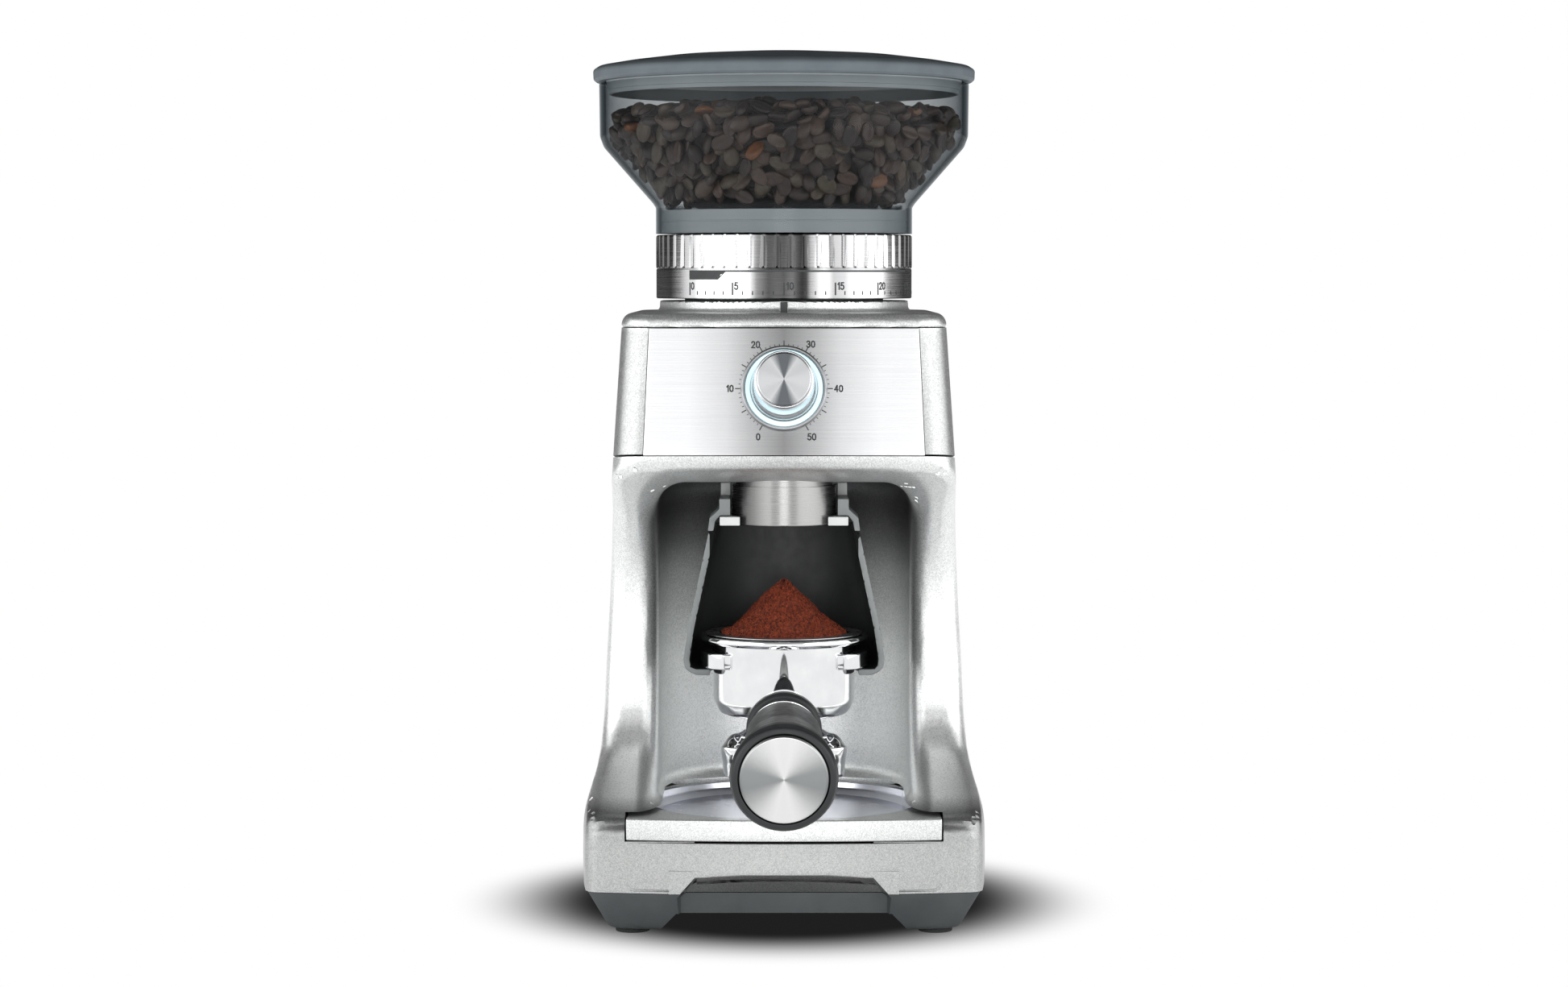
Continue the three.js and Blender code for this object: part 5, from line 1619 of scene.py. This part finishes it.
def studio_world():
    """White to look at. The light it gives is soft and low: dim behind, a little brighter in front."""
    world = bpy.data.worlds.new("studio")
    world.use_nodes = True
    nodes, links = world.node_tree.nodes, world.node_tree.links
    nodes.clear()
    direction = nodes.new("ShaderNodeTexCoord")
    split = nodes.new("ShaderNodeSeparateXYZ")
    links.new(direction.outputs["Generated"], split.inputs["Vector"])
    along = shifted(nodes, links, split.outputs["Y"], 0.5, 0.5)
    around = ramp(nodes, links, along, grey(WORLD_FRONT), grey(WORLD_BACK), 0.25, 0.62)
    height = ramp(nodes, links, split.outputs["Z"], grey(1.0), grey(WORLD_ABOVE), 0.4, 0.7)
    glow = nodes.new("ShaderNodeBackground")
    links.new(multiplied(nodes, links, around, height), glow.inputs["Color"])
    plain = nodes.new("ShaderNodeBackground")
    plain.inputs["Color"].default_value = (1, 1, 1, 1)
    seen = nodes.new("ShaderNodeLightPath")
    choose = nodes.new("ShaderNodeMixShader")
    links.new(seen.outputs["Is Camera Ray"], choose.inputs[0])
    links.new(glow.outputs["Background"], choose.inputs[1])
    links.new(plain.outputs["Background"], choose.inputs[2])
    output = nodes.new("ShaderNodeOutputWorld")
    links.new(choose.outputs["Shader"], output.inputs["Surface"])
    bpy.context.scene.world = world
    bpy.context.scene.view_settings.view_transform = "Standard"


def lights():
    """Two wide soft boxes at the sides, a weak light overhead and a small one low in front."""
    for side, name in ((-1, "soft_left"), (1, "soft_right")):
        azimuth = side * BOX_AZIMUTH
        place = (BOX_AWAY * math.sin(azimuth), -BOX_AWAY * math.cos(azimuth), BOX_HEIGHT)
        area = math.pi * BOX_SIZE[0] * BOX_SIZE[1]
        light(name, place, (0, 0, BOX_HEIGHT), BOX_SIZE, BOX_GLOW * area)
    light("overhead", (0, 0.5, 1.9), (0, 0, 0.3), (1.6, 1.0), 1.5)
    light("front", (0, -1.8, 0.16), (0, 0, 0.14), (0.6, 0.4), 2.6)


def camera():
    data = bpy.data.cameras.new("camera")
    data.sensor_width = 36
    data.lens = CAMERA_LENS
    data.clip_end = 50
    obj = bpy.data.objects.new("camera", data)
    obj.location = (0, (-CAMERA_AWAY + AXIS_Y) * MM, CAMERA_HEIGHT)
    obj.rotation_euler = (math.radians(90 - CAMERA_PITCH), 0, 0)
    bpy.context.scene.collection.objects.link(obj)
    bpy.context.scene.camera = obj


# ---------------------------------------------------------------- the scene
tilt_in = math.pi / 2 - PANEL_TILT
knob_origin = knob_place().to_translation()
# The timer knob's face and the grip's end cap carry painted reflections, as fans of light and dark.
FACE_STEEL = spun_steel("face_steel", (0, (knob_origin.y + AXIS_Y) * MM, knob_origin.z * MM), tilt_in,
                        (0.62, 0.63, 0.64), (0.12, 0.13, 0.14), 0.26, (0.70, 0.95))
handle_origin = handle_place().to_translation()
CAP_STEEL = spun_steel("cap_steel", (0, (handle_origin.y + AXIS_Y) * MM, handle_origin.z * MM),
                       math.pi / 2 + HANDLE_TILT,
                       (0.22, 0.23, 0.23), (0.80, 0.80, 0.80), 0.26, (0.05, 0.95))
CHROME_SOFT = polished("soft_chrome", (0.70, 0.71, 0.72), (0.78, 0.79, 0.80), 0.14)
# The outlet ring's brushed steel, with painted reflections in grey bands from left to right.
OUTLET_STEEL = brushed_steel("outlet_steel", (30, 30, 4200), (0.62, 0.62, 0.61), (0.80, 0.80, 0.79), 0.26,
                             banded([(-23.3, 0.15), (-17, 0.12), (-13, 0.20), (-6, 0.42), (8, 0.42),
                                     (14, 0.40), (19, 0.36),
                                     (23.3, 0.3)]))

body_shell()
base_front_cover()
arch_lip()
head()
top_cover()
base()
hopper()
hopper_lid()
dial()
dial_print()
beans()
tray()
cradle()
lugs()
portafilter()
handle()
spout()
coffee()
knob()
panel_print()
keep_cad_pieces()
stage()
studio_world()
lights()
camera()
